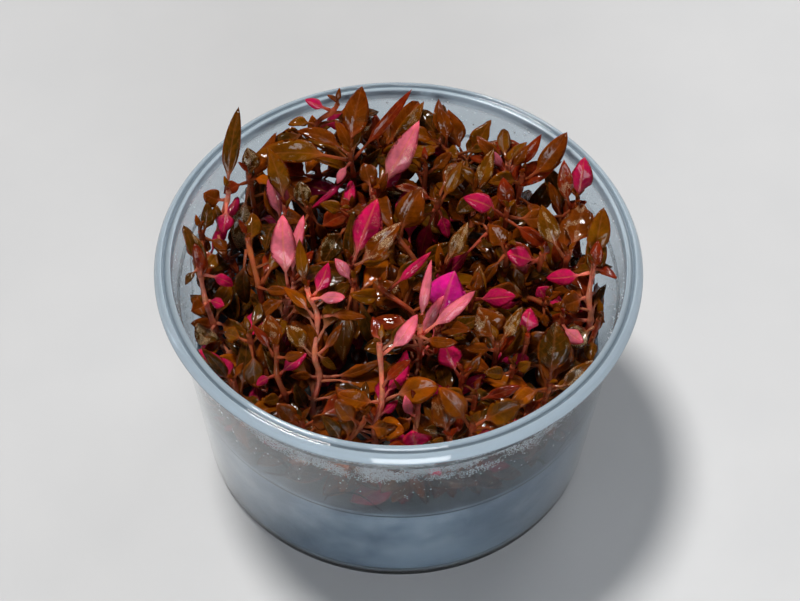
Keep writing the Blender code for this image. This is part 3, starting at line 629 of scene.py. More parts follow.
def smooth_path(centres):
    """Points and directions along a smooth curve through the stem's ring centres."""
    nodes = [(lower + upper) / 2.0 for lower, upper in zip(centres[2:-1:2], centres[3:-1:2])]
    knots = [centres[0]] + nodes + [centres[-1]]
    path = []
    for index in range(len(knots) - 1):
        before = knots[max(index - 1, 0)]
        start = knots[index]
        end = knots[index + 1]
        after = knots[min(index + 2, len(knots) - 1)]
        for step in range(PATH_STEPS):
            path.append(curve_point(before, start, end, after, step / PATH_STEPS))
    before = knots[-3] if len(knots) > 2 else knots[0]
    path.append(curve_point(before, knots[-2], knots[-1], knots[-1], 1.0))
    return path


def curve_point(before, start, end, after, t):
    """Point and direction on a curve that passes through start and end."""
    leave = (end - before) * 0.5
    arrive = (after - start) * 0.5
    point = (
        start * (2 * t ** 3 - 3 * t ** 2 + 1)
        + leave * (t ** 3 - 2 * t ** 2 + t)
        + end * (-2 * t ** 3 + 3 * t ** 2)
        + arrive * (t ** 3 - t ** 2)
    )
    slope = (
        start * (6 * t ** 2 - 6 * t)
        + leave * (3 * t ** 2 - 4 * t + 1)
        + end * (-6 * t ** 2 + 6 * t)
        + arrive * (3 * t ** 2 - 2 * t)
    )
    return point, slope.normalized()


# Small leaves between the planned ones

class Crowd:
    """Points of all the leaves in a grid of cells, to keep new leaves clear of them."""

    def __init__(self):
        self.cells = {}
        self.covered = set()

    def key(self, point):
        """Cell that a point lies in."""
        return tuple(int(math.floor(value / CROWD_CELL)) for value in point)

    def add(self, leaf):
        """Puts a leaf's points in the grid."""
        for point in leaf.samples():
            self.cells.setdefault(self.key(point), []).append(point)
            self.covered.add((round(point.x / BARE_CELL), round(point.y / BARE_CELL)))

    def is_free(self, leaf):
        """Whether a leaf's points keep the gap from all the points in the grid."""
        for point in leaf.samples():
            x, y, z = self.key(point)
            for i, j, k in itertools.product((-1, 0, 1), repeat=3):
                for other in self.cells.get((x + i, y + j, z + k), ()):
                    if (other - point).length < CROWD_GAP:
                        return False
        return True


class Sight:
    """The planned leaves and stems as the photograph shows them, which added leaves don't hide."""

    def __init__(self):
        self.eye = Vector(eye_place())
        pitch = math.radians(CAMERA_PITCH)
        self.forward = Vector((0.0, math.cos(pitch), -math.sin(pitch)))
        self.upward = Vector((0.0, math.sin(pitch), math.cos(pitch)))
        self.scale = FOCAL_LENGTH / SENSOR_WIDTH * IMAGE_WIDTH / SIGHT_CELL
        self.nearest = {}
        self.covered = set()

    def spot(self, point):
        """Cell of the picture that a point falls in, and its distance from the eye."""
        away = point - self.eye
        ahead = away.dot(self.forward)
        scale = self.scale / ahead
        return int(round(away.x * scale)), int(round(away.dot(self.upward) * scale)), ahead

    def cells_round(self, point):
        """Nine cells round the one that a point falls in, and the point's distance."""
        column, row, ahead = self.spot(point)
        return {(column + i, row + j) for i in (-1, 0, 1) for j in (-1, 0, 1)}, ahead

    def cover(self, leaf):
        """Marks the cells that a leaf covers."""
        for point in leaf.samples():
            self.covered |= self.cells_round(point)[0]

    def place_at(self, column, row, height):
        """Point at a height on a cell's line of sight."""
        ray = self.forward + Vector((column / self.scale, 0.0, 0.0)) + self.upward * (row / self.scale)
        return self.eye + ray * ((height - self.eye.z) / ray.z)

    def show(self, points):
        """Keeps the line of sight to some points free."""
        for point in points:
            cells, ahead = self.cells_round(point)
            for cell in cells:
                self.nearest[cell] = min(ahead, self.nearest.get(cell, ahead))

    def is_hidden_by(self, leaf):
        """Whether a leaf lies in front of something that the photograph shows."""
        for point in leaf.samples():
            column, row, ahead = self.spot(point)
            if ahead < self.nearest.get((column, row), 0.0) - SIGHT_MARGIN:
                return True
        return False


def in_tub(leaf):
    """Whether a leaf keeps inside the wall, above the gel and below the rim's plane."""
    for point in leaf.samples():
        if point.z < GEL_TOP + 1.0 or point.z > TUB_HEIGHT + 1.0:
            return False
        if point.to_2d().length > room_radius(point.z) - 0.8:
            return False
    return True


def small_leaf(base, heading, rise, length, width, tone, painted_glint):
    """A leaf of the rule's own making, its face turned up and a little to the light."""
    reach = direction(heading, rise) * length
    up = (Vector((0.0, 0.0, 1.0)) + TO_CAMERA * 0.6).normalized()
    side = reach.cross(up).normalized()
    front = side.cross(reach).normalized()
    return Leaf(base, base + reach, front * (length * 0.10), side, width, tone, painted_glint)


def fits(leaf, crowd, sight):
    """Whether an added leaf has room and hides nothing that the photograph shows."""
    return in_tub(leaf) and crowd.is_free(leaf) and not sight.is_hidden_by(leaf)


def extra_leaves(path, own_heading, crowd, sight, chance):
    """Pairs of leaves between the CAD nodes, each pair turned across the one below."""
    made = []
    crown = path[-1][0]
    turn = own_heading
    for centre, tangent in path[5:-1:2]:
        if centre.z < GEL_TOP + 5.0:
            continue
        turn += 90.0
        depth = smoothstep(4.0, 16.0, crown.z - centre.z)
        for opposite in (0.0, 180.0):
            for attempt in range(PAIR_ATTEMPTS):
                shrink = 1.0 - PAIR_SHRINK * attempt
                heading = turn + opposite + chance.uniform(-45.0, 45.0)
                rise = chance.uniform(5.0, 68.0) * (1.0 - 0.5 * depth)
                length = chance.uniform(*PAIR_LENGTHS) * shrink
                width = length * chance.uniform(0.27, 0.38 + 0.08 * depth)
                tone = chance.choice(RULE_TONES if depth < 0.5 else LOW_TONES)
                # Seven in a hundred added leaves get painted highlights.
                painted_glint = 0.5 if chance.random() < 0.07 else 0.0
                leaf = small_leaf(centre, heading, rise, length, width, tone, painted_glint)
                if fits(leaf, crowd, sight):
                    crowd.add(leaf)
                    made.append(leaf)
                    break
    for index in range(2):
        heading = own_heading + 180.0 * index + chance.uniform(-35.0, 35.0)
        length = chance.uniform(2.8, 4.6)
        rise = chance.uniform(48.0, 80.0)
        tone = chance.choice(("red", "brown", "ochre", "brown"))
        made.append(small_leaf(crown, heading, rise, length, length * 0.34, tone, 0.0))
    return made


def stem_points(read, first):
    """Points of all the stems with their plantlets' names, from one step of each path on."""
    return [(name, centre) for name, (path, leaves) in read.items() for centre, tangent in path[first:-1]]


def nearest_bases(bases, spot, least, most, highest, count):
    """The nearest stem points within a range of distances from a spot and below a height."""
    near = [((spot - centre).length, name, centre) for name, centre in bases
            if least < (spot - centre).length < most and centre.z < highest]
    near.sort(key=lambda entry: (entry[0], entry[1]))
    return near[:count]


def wall_leaves(read, crowd, sight, added):
    """Leaves low on the outer stems that lean out to the wall all round."""
    chance = random.Random(17)
    bases = stem_points(read, 3)
    for height in WALL_LEAF_HEIGHTS:
        for turn in range(0, 360, WALL_LEAF_TURN):
            heading = turn + chance.uniform(-4.0, 4.0)
            aim = direction(heading, 0.0) * (room_radius(height) - 1.6)
            aim.z = height + chance.uniform(-2.0, 3.0)
            near = nearest_bases(bases, aim, 5.0, WALL_REACH, aim.z + 1.0, 10)
            for distance, name, centre in near:
                reach = (aim - centre) * min(1.0, LONGEST_WALL_LEAF / distance)
                out = math.degrees(math.atan2(reach.y, reach.x)) + chance.uniform(-6.0, 6.0)
                rise = math.degrees(math.asin(reach.z / reach.length))
                width = reach.length * chance.uniform(0.38, 0.5)
                tone = chance.choice(LOW_TONES if height < 45.0 else RULE_TONES)
                leaf = small_leaf(centre, out, rise, reach.length, width, tone, 0.0)
                if fits(leaf, crowd, sight):
                    crowd.add(leaf)
                    added[name].append(leaf)
                    break


def cover_bare_sights(read, crowd, sight, added):
    """Leaves across the lines of sight that still pass between all the leaves."""
    chance = random.Random(5)
    for name, (path, leaves) in read.items():
        for leaf in leaves + added[name]:
            sight.cover(leaf)
    bases = stem_points(read, 2)
    cells = [(column, row) for column in range(-80, 81) for row in range(-70, 71)]
    chance.shuffle(cells)
    for column, row in cells:
        if (column, row) in sight.covered:
            continue
        for height in SIGHT_HEIGHTS:
            spot = sight.place_at(column, row, height)
            if spot.to_2d().length > room_radius(height) - 1.2:
                continue
            near = nearest_bases(bases, spot, 3.5, 13.5, height + 2.0, 32)
            if any(cross_sight(spot, entry, crowd, sight, added, chance) for entry in near):
                break


def cross_sight(spot, entry, crowd, sight, added, chance):
    """Adds a leaf from a stem through a spot, where it fits."""
    distance, name, centre = entry
    reach = (spot - centre) * chance.uniform(1.25, 1.7)
    heading = math.degrees(math.atan2(reach.y, reach.x))
    rise = math.degrees(math.asin(reach.z / reach.length))
    width = reach.length * chance.uniform(0.32, 0.46)
    tone = chance.choice(RULE_TONES if spot.z > 44.0 else LOW_TONES)
    leaf = small_leaf(centre, heading, rise, reach.length, width, tone, 0.0)
    if not fits(leaf, crowd, sight):
        return False
    crowd.add(leaf)
    sight.cover(leaf)
    added[name].append(leaf)
    return True


def bare_spots(crowd):
    """Places inside the tub that no leaf lies over, in a fixed mixed order."""
    reach = int(room_radius(GEL_TOP) / BARE_CELL)
    spots = []
    for column in range(-reach, reach + 1):
        for row in range(-reach, reach + 1):
            spot = Vector((column * BARE_CELL, row * BARE_CELL))
            if spot.length < room_radius(GEL_TOP) - 1.5 and (column, row) not in crowd.covered:
                spots.append(spot)
    random.Random(3).shuffle(spots)
    return spots


def cover_bare_spots(read, crowd, sight, added):
    """Older, broader leaves low on the stems, over the places that are still bare."""
    chance = random.Random(11)
    bases = [base for base in stem_points(read, 2) if GEL_TOP + 3.0 < base[1].z < 46.0]
    for spot in bare_spots(crowd):
        near = [(abs((centre.to_2d() - spot).length - 5.0), name, centre) for name, centre in bases
                if 1.5 < (centre.to_2d() - spot).length < BARE_REACH]
        near.sort(key=lambda entry: (entry[0], entry[1], entry[2].z))
        for _, name, centre in near[:24]:
            if (round(spot.x / BARE_CELL), round(spot.y / BARE_CELL)) in crowd.covered:
                break
            away = spot - centre.to_2d()
            heading = math.degrees(math.atan2(away.y, away.x)) + chance.uniform(-8.0, 8.0)
            length = min(14.0, max(6.5, away.length * chance.uniform(1.4, 1.8)))
            width = length * chance.uniform(0.38, 0.50)
            rise = chance.uniform(0.0, 48.0)
            tone = chance.choice(LOW_TONES)
            leaf = small_leaf(centre, heading, rise, length, width, tone, 0.0)
            if fits(leaf, crowd, sight):
                crowd.add(leaf)
                added[name].append(leaf)


def make_plantlets(material):
    """Replaces each CAD plantlet with its leafy piece."""
    read = {}
    added = {}
    crowd = Crowd()
    sight = Sight()
    for index, rows in enumerate(PLAN):
        name = "plantlet_%02d" % (index + 1)
        centres, leaves = read_plantlet(name)
        match_plan(rows, leaves)
        path = smooth_path(centres)
        read[name] = (path, leaves)
        for leaf in leaves:
            crowd.add(leaf)
            if leaf.planned:
                sight.show(leaf.samples())
        lowest = 31.0 if index + 1 in LONG_STEMS else path[-1][0].z - 6.0
        sight.show([centre for centre, tangent in path if centre.z > lowest])
    for index, rows in enumerate(PLAN):
        name = "plantlet_%02d" % (index + 1)
        chance = random.Random(100 + index)
        added[name] = extra_leaves(read[name][0], rows[0][1][0] + 45.0, crowd, sight, chance)
    wall_leaves(read, crowd, sight, added)
    cover_bare_sights(read, crowd, sight, added)
    cover_bare_spots(read, crowd, sight, added)
    for index, name in enumerate(read):
        chance = random.Random(200 + index)
        path, leaves = read[name]
        growth = Growth()
        stem_colour = PALE_STEM if index + 1 in PALE_STEMS else DULL_STEM
        add_stem(growth, path, stem_colour, chance)
        for leaf in leaves:
            if leaf.tone is None:
                leaf.tone = chance.choice(RULE_TONES)
        for leaf in leaves + added[name]:
            leaf.stem_colour = stem_colour
            add_leaf(growth, leaf, chance)
        piece = growth.finish_mesh("leafy_" + name, material)
        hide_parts(name)
        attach(piece, "root")


# Materials

class Nodes:
    """The nodes of a material or of the world, with short ways to add them."""

    def __init__(self, tree):
        self.tree = tree

    def add(self, kind, inputs, **settings):
        """Adds a node and sets its properties, and its inputs by number or name."""
        made = self.tree.nodes.new("ShaderNode" + kind)
        for key, value in settings.items():
            setattr(made, key, value)
        for key, value in inputs.items():
            if isinstance(value, bpy.types.NodeSocket):
                self.tree.links.new(value, made.inputs[key])
            else:
                made.inputs[key].default_value = value
        return made

    def place(self, kind="Object"):
        """Coordinates of the shaded point."""
        return self.add("TexCoord", {}).outputs[kind]

    def attribute(self, name, kind="Vector"):
        """A value that the mesh carries at its points."""
        return self.add("Attribute", {}, attribute_name=name).outputs[kind]

    def maths(self, operation, *values, clamp=False):
        """Result of a Math node."""
        return self.add("Math", dict(enumerate(values)), operation=operation, use_clamp=clamp).outputs[0]

    def plus(self, first, second):
        """Sum of two values."""
        return self.maths("ADD", first, second)

    def minus(self, first, second):
        """Difference of two values."""
        return self.maths("SUBTRACT", first, second)

    def times(self, first, second):
        """Product of two values."""
        return self.maths("MULTIPLY", first, second)

    def larger(self, first, second):
        """Larger of two values."""
        return self.maths("MAXIMUM", first, second)

    def blend(self, share, first, second, kind="MIX"):
        """Mix of two colours."""
        inputs = {0: share, 6: first, 7: second}
        return self.add("Mix", inputs, data_type="RGBA", blend_type=kind).outputs[2]

    def remap(self, value, low, high, to_low, to_high):
        """A range of values mapped onto another, and held at its ends."""
        inputs = {0: value, 1: low, 2: high, 3: to_low, 4: to_high}
        return self.add("MapRange", inputs, clamp=True).outputs[0]

    def line(self, value, centre, core, edge):
        """1 close to a centre value, falling to 0 between two distances from it."""
        off = self.maths("ABSOLUTE", self.minus(value, centre))
        return self.remap(off, core, edge, 1.0, 0.0)

    def noise(self, vector, scale, detail, roughness):
        """Value of a noise texture."""
        inputs = {"Vector": vector, "Scale": scale, "Detail": detail, "Roughness": roughness}
        return self.add("TexNoise", inputs).outputs[0]

    def parts(self, vector):
        """The three values of a vector."""
        return tuple(self.add("SeparateXYZ", {0: vector}).outputs)

    def joined(self, x, y, z=0.0):
        """A vector of three values."""
        return self.add("CombineXYZ", {0: x, 1: y, 2: z}).outputs[0]

    def radius_and_height(self):
        """Distance of the shaded point from the tub's axis, and its height, in metres."""
        x, y, height = self.parts(self.place())
        flat = self.joined(x, y)
        return self.add("VectorMath", {0: flat}, operation="LENGTH").outputs["Value"], height

    def bump(self, strength, distance, height):
        """Normal of a bumpy surface."""
        inputs = {"Strength": strength, "Distance": distance, "Height": height}
        return self.add("Bump", inputs).outputs[0]

    def principled(self, **inputs):
        """A surface shader: each input's name is written with _ for its spaces."""
        return self.add("BsdfPrincipled", {key.replace("_", " "): value for key, value in inputs.items()})

    def finish(self, surface, through=None, share=0.0):
        """Ends the material in a surface, mixed with a share of light that comes through."""
        shader = surface.outputs[0]
        if through is not None:
            shader = self.add("MixShader", {0: share, 1: shader, 2: through.outputs[0]}).outputs[0]
        self.add("OutputMaterial", {0: shader})


def new_material(name):
    """Makes an empty node material and returns it with its nodes."""
    material = bpy.data.materials.new(name)
    material.use_nodes = True
    material.node_tree.nodes.clear()
    return material, Nodes(material.node_tree)


def leaf_material():
    """Wet thin leaf: mottled, with midrib and veins, painted highlights as broken glints, and light
    through the blade.
    """
    material, nodes = new_material("wet_leaf")
    colour = nodes.attribute("leaf_colour", "Color")
    across, along, rib_mark = nodes.parts(nodes.attribute("leaf_place"))
    painted_glint, seed, blade = nodes.parts(nodes.attribute("leaf_finish"))
    position = nodes.place()
    broad = nodes.noise(position, 260.0, 3.0, 0.6)
    fine = nodes.noise(position, 1100.0, 2.0, 0.5)
    away = nodes.maths("ABSOLUTE", across)

    # Blotches, side veins, midrib and edge
    rib = nodes.times(nodes.remap(away, 0.03, 0.13, 1.0, 0.0), blade)
    slant = nodes.minus(nodes.times(along, 58.0), nodes.times(away, 10.0))
    ripple = nodes.maths("SINE", nodes.plus(slant, nodes.times(broad, 3.0)))
    vein = nodes.times(nodes.remap(ripple, 0.78, 1.0, 0.0, 1.0), blade)
    shade = nodes.remap(broad, 0.3, 0.7, 0.5, 1.05)
    mottled = nodes.blend(1.0, colour, nodes.joined(shade, shade, shade), "MULTIPLY")
    glow = nodes.blend(nodes.remap(fine, 0.45, 0.75, 0.0, 0.22), mottled, (0.42, 0.10, 0.004, 1.0))
    pale = nodes.blend(0.5, glow, (0.70, 0.22, 0.08, 1.0))
    veined = nodes.blend(nodes.times(vein, 0.09), glow, pale)
    ribbed = nodes.blend(nodes.times(rib, nodes.larger(rib_mark, 0.0)), veined, pale)
    # The orange-red edge is partly the blade's own reddish margin and partly painted light, standing for
    # light through the thin edge.
    edge = nodes.times(nodes.remap(away, 0.84, 1.0, 0.0, 0.6), blade)
    edge_tinted_and_lit = nodes.blend(edge, ribbed, (0.40, 0.07, 0.004, 1.0))

    # Painted highlights: pale glints painted into the colour as broken patches and specks
    strokes = nodes.joined(
        nodes.maths("MULTIPLY_ADD", across, 3.4, nodes.times(seed, 90.0)),
        nodes.times(along, 11.0),
        nodes.times(seed, 57.0),
    )
    sparkle = nodes.remap(nodes.noise(strokes, 6.0, 3.0, 0.7), 0.52, 0.58, 0.0, 1.0)
    reach = nodes.minus(0.66, nodes.times(painted_glint, 0.26))
    glint_field = nodes.minus(nodes.noise(strokes, 0.45, 1.0, 0.5), reach)
    patch = nodes.remap(glint_field, 0.12, 0.22, 0.0, 0.15)
    dotted = nodes.times(nodes.remap(glint_field, 0.0, 0.05, 0.0, 0.9), sparkle)
    glint_strength = nodes.remap(painted_glint, 0.05, 0.6, 0.0, 0.85)
    glint = nodes.maths("MULTIPLY", glint_strength, nodes.larger(patch, dotted), clamp=True)
    painted = nodes.blend(glint, edge_tinted_and_lit, (0.92, 0.72, 0.42, 1.0))

    # Relief, gloss and the light that comes through
    height = nodes.plus(nodes.times(ripple, 0.10), nodes.times(fine, 0.5))
    height = nodes.plus(height, nodes.times(broad, 1.8))
    height = nodes.minus(height, nodes.times(rib, 0.6))
    normal = nodes.bump(0.45, 0.0003, height)
    surface = nodes.principled(
        Base_Color=painted, Roughness=nodes.remap(broad, 0.3, 0.7, 0.35, 0.55), IOR=1.40,
        Specular_IOR_Level=0.02, Coat_Weight=0.8, Coat_Roughness=0.03, Coat_IOR=1.38,
        Normal=normal, Coat_Normal=nodes.bump(0.22, 0.0003, height),
    )
    lit = nodes.blend(1.0, painted, (1.7, 1.0, 0.3, 1.0), "MULTIPLY")
    through = nodes.add("BsdfTranslucent", {"Color": lit, "Normal": normal})
    nodes.finish(surface, through, 0.36)
    return material


def plastic_material():
    """See-through plastic: smooth outside, fogged inside, cloudier at the thick rim, with scuffs."""
    material, nodes = new_material("frosted_plastic_wall")
    position = nodes.place()
    radius, height = nodes.radius_and_height()
    slope = (WALL_TOP_RADIUS - BASE_RADIUS) / (TUB_HEIGHT - RIM_DROP)
    middle_of_wall = nodes.plus(nodes.times(height, slope), (BASE_RADIUS - WALL_THICKNESS / 2.0) * MM)
    outside = nodes.maths("GREATER_THAN", nodes.minus(radius, middle_of_wall), 0.0)
    inside = nodes.minus(1.0, outside)
    rim = nodes.remap(height, (TUB_HEIGHT - 3.2) * MM, (TUB_HEIGHT - 1.8) * MM, 0.0, 1.0)
    cloud = nodes.noise(position, 60.0, 4.0, 0.6)
    scuff = nodes.noise(position, 900.0, 3.0, 0.7)
    fog = nodes.times(nodes.remap(cloud, 0.45, 0.65, 0.0, 0.06), inside)
    clear = nodes.minus(nodes.remap(rim, 0.0, 1.0, 1.0, 0.5), fog)
    tint = nodes.blend(rim, (0.68, 0.77, 0.84, 1.0), (0.50, 0.60, 0.68, 1.0))

    # Shaded groove and hem of the rim
    groove = nodes.times(
        nodes.line(radius, GROOVE_RADIUS * MM, 0.22 * MM, 0.42 * MM),
        nodes.remap(height, (TUB_HEIGHT - 1.0) * MM, (TUB_HEIGHT - 0.8) * MM, 0.0, 1.0),
    )
    hem = nodes.times(
        nodes.remap(radius, 49.2 * MM, 49.4 * MM, 0.0, 1.0),
        nodes.remap(height, (TUB_HEIGHT - 1.9) * MM, (TUB_HEIGHT - 1.7) * MM, 1.0, 0.0),
    )
    folds = nodes.times(nodes.larger(groove, hem), 0.75)
    tint = nodes.blend(folds, tint, (0.09, 0.13, 0.17, 1.0))

    # Painted shade on the inner side: dark lines at the gel's level and along the edges of the water film
    # above it
    sway = nodes.noise(position, 45.0, 2.0, 0.5)
    level = nodes.plus((GEL_TOP - 0.5) * MM, nodes.times(sway, 1.2 * MM))
    gel_line = nodes.line(height, level, 0.14 * MM, 0.28 * MM)
    film_edge = nodes.line(nodes.noise(position, 38.0, 1.0, 0.5), 0.5, 0.003, 0.007)
    above = nodes.remap(height, (GEL_TOP + 2.0) * MM, (GEL_TOP + 4.0) * MM, 0.0, 0.8)
    below = nodes.remap(height, (TUB_HEIGHT - 9.5) * MM, (TUB_HEIGHT - 8.5) * MM, 1.0, 0.0)
    film_line = nodes.times(film_edge, nodes.times(above, below))
    line = nodes.times(nodes.larger(gel_line, film_line), inside)
    tint = nodes.blend(nodes.times(line, 0.95), tint, (0.02, 0.03, 0.04, 1.0))

    inside_rough = nodes.remap(scuff, 0.3, 0.7, 0.10, 0.18)
    outside_rough = nodes.remap(scuff, 0.3, 0.7, 0.02, 0.05)
    rough = nodes.add("Mix", {0: outside, 2: inside_rough, 3: outside_rough}, data_type="FLOAT")
    scuff_depth = nodes.times(nodes.minus(1.0, rim), 0.03)
    nodes.finish(nodes.principled(
        Base_Color=tint, Roughness=rough.outputs[0], IOR=1.49, Transmission_Weight=clear,
        Normal=nodes.bump(scuff_depth, 0.0002, scuff),
    ))
    return material


def gel_material():
    """Milky wet gel with faint clouds, with painted shade: dark on top between the stems."""
    material, nodes = new_material("milky_gel")
    position = nodes.place()
    radius, height = nodes.radius_and_height()
    cloud = nodes.remap(nodes.noise(position, 75.0, 3.0, 0.55), 0.38, 0.62, 0.0, 1.0)
    tint = nodes.blend(cloud, (0.19, 0.23, 0.29, 1.0), (0.50, 0.53, 0.57, 1.0))
    low = nodes.remap(height, GEL_FLOOR * MM, (GEL_FLOOR + 12.0) * MM, 0.45, 1.0)
    deep = nodes.blend(low, (0.16, 0.24, 0.34, 1.0), tint)
    # Painted shade: the gel's top is coloured dark, most towards the middle, where the leaves shade it.
    on_top = nodes.remap(height, (GEL_TOP - 1.0) * MM, (GEL_TOP - 0.4) * MM, 0.0, 0.92)
    inward = nodes.remap(radius, 35.0 * MM, 43.0 * MM, 1.0, 0.35)
    painted_shade_top = nodes.blend(nodes.times(on_top, inward), deep, (0.030, 0.022, 0.012, 1.0))
    nodes.finish(nodes.principled(
        Base_Color=painted_shade_top, Roughness=0.25, IOR=1.34, Transmission_Weight=0.15,
        Subsurface_Weight=0.85, Subsurface_Radius=(1.0, 1.1, 1.25), Subsurface_Scale=0.006,
        Normal=nodes.bump(0.2, 0.0003, nodes.noise(position, 500.0, 2.0, 0.5)),
    ))
    return material


def water_material():
    """Fine drops of condensation, coloured white as a painted highlight, and bright where light passes
    through them.
    """
    material, nodes = new_material("condensation")
    haze = nodes.remap(nodes.noise(nodes.place(), 300.0, 1.0, 0.5), 0.3, 0.7, 0.02, 0.15)
    # Painted highlight: the clear water drops are given a white colour so that they show as bright
    # specks.
    glint_white = (1.0, 1.0, 1.0, 1.0)
    surface = nodes.principled(Base_Color=glint_white, Roughness=haze, IOR=1.33, Transmission_Weight=0.05)
    nodes.finish(surface, nodes.add("BsdfTranslucent", {"Color": glint_white}), 0.6)
    return material


def floor_material():
    """Pale matt floor with a faint grain."""
    material, nodes = new_material("pale_floor")
    grain = nodes.noise(nodes.place(), 40.0, 3.0, 0.5)
    tint = nodes.blend(grain, (0.48, 0.485, 0.495, 1.0), (0.53, 0.53, 0.535, 1.0))
    nodes.finish(nodes.principled(Base_Color=tint, Roughness=0.65))
    return material


# Tub, gel and drops

def turned(name, profile, steps, material):
    """Turns a profile of (radius, height) points in millimetres around the Z axis."""
    mesh = bpy.data.meshes.new(name)
    points = [(radius * MM, 0.0, height * MM) for radius, height in profile]
    mesh.from_pydata(points, [(index, index + 1) for index in range(len(points) - 1)], [])
    mesh.materials.append(material)
    made = link_object(name, mesh)
    screw = made.modifiers.new("Turn", "SCREW")
    screw.steps = steps
    screw.render_steps = steps
    screw.use_merge_vertices = True
    screw.merge_threshold = 0.00001
    screw.use_smooth_shade = True
    return made


def rounded(points, radius, steps=4):
    """Rounds the corners of a profile with short arcs."""
    made = [points[0]]
    for before, corner, after in zip(points, points[1:], points[2:]):
        before, corner, after = Vector(before), Vector(corner), Vector(after)
        reach = min(radius, (before - corner).length * 0.45, (after - corner).length * 0.45)
        start = corner + (before - corner).normalized() * reach
        end = corner + (after - corner).normalized() * reach
        for step in range(steps + 1):
            t = step / steps
            point = start * (1 - t) ** 2 + corner * (2 * t * (1 - t)) + end * t ** 2
            made.append(tuple(point))
    made.append(points[-1])
    return made


def make_tub(material):
    """The moulded tub with its stacking ledge, inner bead, groove and rolled rim."""
    corner = FLOOR_THICKNESS + BASE_ROUNDING
    below_ledge = LEDGE_HEIGHT - LEDGE_RUN
    outline = [(0.0, FLOOR_THICKNESS), (inner_radius(FLOOR_THICKNESS) - BASE_ROUNDING, FLOOR_THICKNESS)]
    outline += [(inner_radius(height), height) for height in (corner, below_ledge, LEDGE_HEIGHT)]
    outline += [(radius, TUB_HEIGHT - depth) for radius, depth in RIM_SECTION]
    outline += [
        (WALL_TOP_RADIUS, TUB_HEIGHT - RIM_DROP - 0.2), (wall_radius(BASE_ROUNDING), BASE_ROUNDING),
        (BASE_RADIUS - BASE_ROUNDING, 0.0), (0.0, 0.0),
    ]
    tub = turned("culture_tub", rounded(outline, 0.3), TUB_STEPS, material)
    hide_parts("tub")
    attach(tub, "root")


def make_gel(material):
    """The bed of gel with a raised edge where it clings to the wall."""
    corner = GEL_FLOOR + BASE_ROUNDING
    gap = WALL_THICKNESS + LEDGE_STEP + GEL_GAP
    edge = wall_radius(GEL_TOP) - gap
    outline = [
        (0.0, GEL_TOP - 0.2), (edge - 3.0, GEL_TOP - 0.2), (edge - 1.0, GEL_TOP - 0.05),
        (edge, GEL_TOP + 0.5), (edge, GEL_TOP), (wall_radius(corner) - gap, corner),
        (wall_radius(GEL_FLOOR) - gap - BASE_ROUNDING, GEL_FLOOR), (0.0, GEL_FLOOR),
    ]
    gel = turned("gel_bed", rounded(outline, 0.6), GEL_STEPS, material)
    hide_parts("nutrient_gel")
    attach(gel, "root")


def add_drop(points, faces, centre, normal, radius):
    """Adds one flattened drop to lists of points and faces, with a second ring on the larger ones."""
    across = normal.orthogonal().normalized()
    up = normal.cross(across)
    rings = ((-0.1, 1.0), (0.30, 0.72)) if radius > FINE_DROP else ((0.0, 1.0),)
    start = len(points)
    for height, spread in rings:
        for turn in range(DROP_SIDES):
            angle = math.tau * turn / DROP_SIDES
            offset = (across * math.cos(angle) + up * math.sin(angle)) * (spread * radius)
            points.append((centre + offset + normal * (height * radius)) * MM)
    top = start + DROP_SIDES * (len(rings) - 1)
    peak = top + DROP_SIDES
    points.append((centre + normal * (0.48 * radius)) * MM)
    points.append((centre - normal * (0.1 * radius)) * MM)
    for turn in range(DROP_SIDES):
        after = (turn + 1) % DROP_SIDES
        if top > start:
            faces.append((start + turn, start + after, top + after, top + turn))
        faces.append((top + turn, top + after, peak))
        faces.append((start + after, start + turn, peak + 1))


def drop_place(chance):
    """A heading, a height and a radius for a drop: most lie in a ragged band round the front."""
    if chance.random() < FRONT_SHARE:
        heading = math.radians(270.0 + chance.triangular(-62.0, 62.0, 0.0))
        edge = 15.0 + 4.0 * noise.noise(Vector((heading * 4.0, 0.5, 0.0)))
        height = TUB_HEIGHT - chance.triangular(3.0, edge, 8.5)
        return heading, height, chance.choice(FRONT_RADII)
    heading = chance.uniform(0.0, math.tau)
    height = TUB_HEIGHT - chance.uniform(2.0, 22.0)
    return heading, height, chance.choice(OTHER_RADII)


def make_drops(material):
    """Condensation on the inner side of the wall."""
    chance = random.Random(7)
    points = []
    faces = []
    made = 0
    while made < DROP_COUNT:
        heading, height, radius = drop_place(chance)
        band = noise.noise(Vector((math.cos(heading) * 7.0, math.sin(heading) * 7.0, height * 0.35)))
        if band < chance.uniform(-0.35, 0.25):
            continue
        outward = Vector((math.cos(heading), math.sin(heading), 0.0))
        centre = outward * inner_radius(height) + Vector((0.0, 0.0, height))
        add_drop(points, faces, centre, -outward, radius)
        made += 1
    mesh = bpy.data.meshes.new("condensation_drops")
    mesh.from_pydata(points, [], faces)
    mesh.materials.append(material)
    mesh.shade_smooth()
    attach(link_object("condensation_drops", mesh), "root")


# Stage

def make_floor(material):
    """A wide pale floor under the tub."""
    mesh = bpy.data.meshes.new("floor")
    cage = bmesh.new()
    bmesh.ops.create_grid(cage, x_segments=4, y_segments=4, size=FLOOR_HALF_WIDTH)
    cage.to_mesh(mesh)
    cage.free()
    mesh.materials.append(material)
    link_object("floor", mesh)


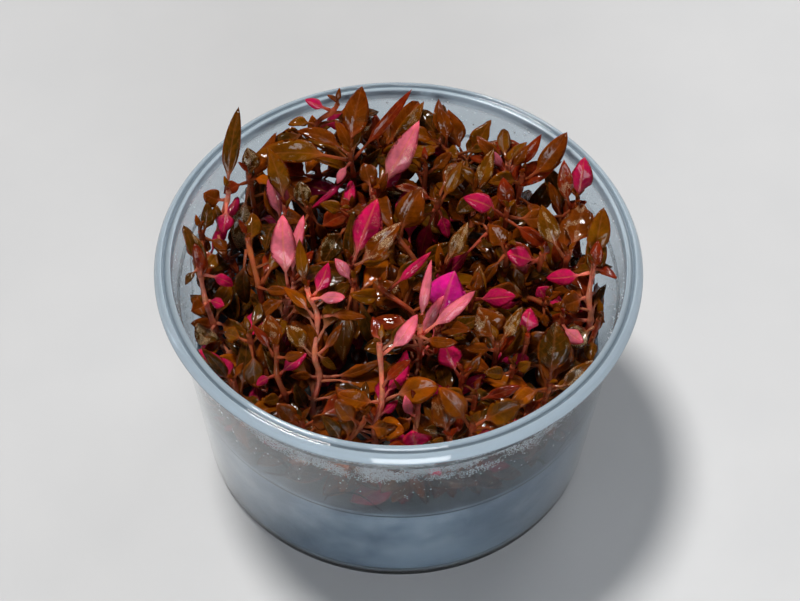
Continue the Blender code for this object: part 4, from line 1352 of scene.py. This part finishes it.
def make_light(name, place, size, power, colour):
    """A soft square light that faces the tub."""
    data = bpy.data.lights.new(name, "AREA")
    data.shape = "SQUARE"
    data.size = size
    data.energy = power
    data.color = colour
    light = link_object(name, data)
    light.location = place
    light.rotation_euler = (LIGHT_AIM - Vector(place)).to_track_quat("-Z", "Y").to_euler()


def make_sun(name, rise, heading, width, power, colour):
    """The main soft light, even over the whole floor."""
    data = bpy.data.lights.new(name, "SUN")
    data.angle = math.radians(width)
    data.energy = power
    data.color = colour
    light = link_object(name, data)
    light.rotation_euler = direction(heading, rise).to_track_quat("Z", "Y").to_euler()


def make_world():
    """Dim studio surroundings with a pale band round the horizon."""
    world = bpy.data.worlds.new("studio")
    world.use_nodes = True
    nodes = Nodes(world.node_tree)
    height = nodes.parts(nodes.place("Generated"))[2]
    background = world.node_tree.nodes["Background"]
    background.inputs["Color"].default_value = (0.88, 0.92, 1.0, 1.0)
    strength = nodes.remap(height, 0.08, 0.20, 0.50, 0.055)
    world.node_tree.links.new(strength, background.inputs["Strength"])
    bpy.context.scene.world = world
    bpy.context.scene.view_settings.view_transform = "Standard"


def make_camera():
    """The camera at the photograph's angle."""
    data = bpy.data.cameras.new("camera")
    data.lens = FOCAL_LENGTH
    data.sensor_width = SENSOR_WIDTH
    data.sensor_fit = "HORIZONTAL"
    data.shift_x = -CENTRE_SHIFT_PIXELS / IMAGE_WIDTH
    data.clip_start = 0.01
    camera = link_object("camera", data)
    camera.location = [value * MM for value in eye_place()]
    tilt = Matrix.Rotation(math.radians(90.0 - CAMERA_PITCH), 4, "X")
    roll = Matrix.Rotation(math.radians(-CAMERA_ROLL), 4, "Z")
    camera.rotation_euler = (tilt @ roll).to_euler()
    bpy.context.scene.camera = camera


make_camera()
make_world()
make_sun("key", 72.0, 139.0, 12.0, 3.2, (1.0, 0.98, 0.95))
make_light("fill", (0.06, -0.66, 0.20), 0.34, 3.8, (0.94, 0.97, 1.0))
make_light("back", (0.26, 0.42, 0.36), 0.3, 0.8, (0.95, 0.97, 1.0))
make_floor(floor_material())
make_tub(plastic_material())
make_gel(gel_material())
make_drops(water_material())
make_plantlets(leaf_material())
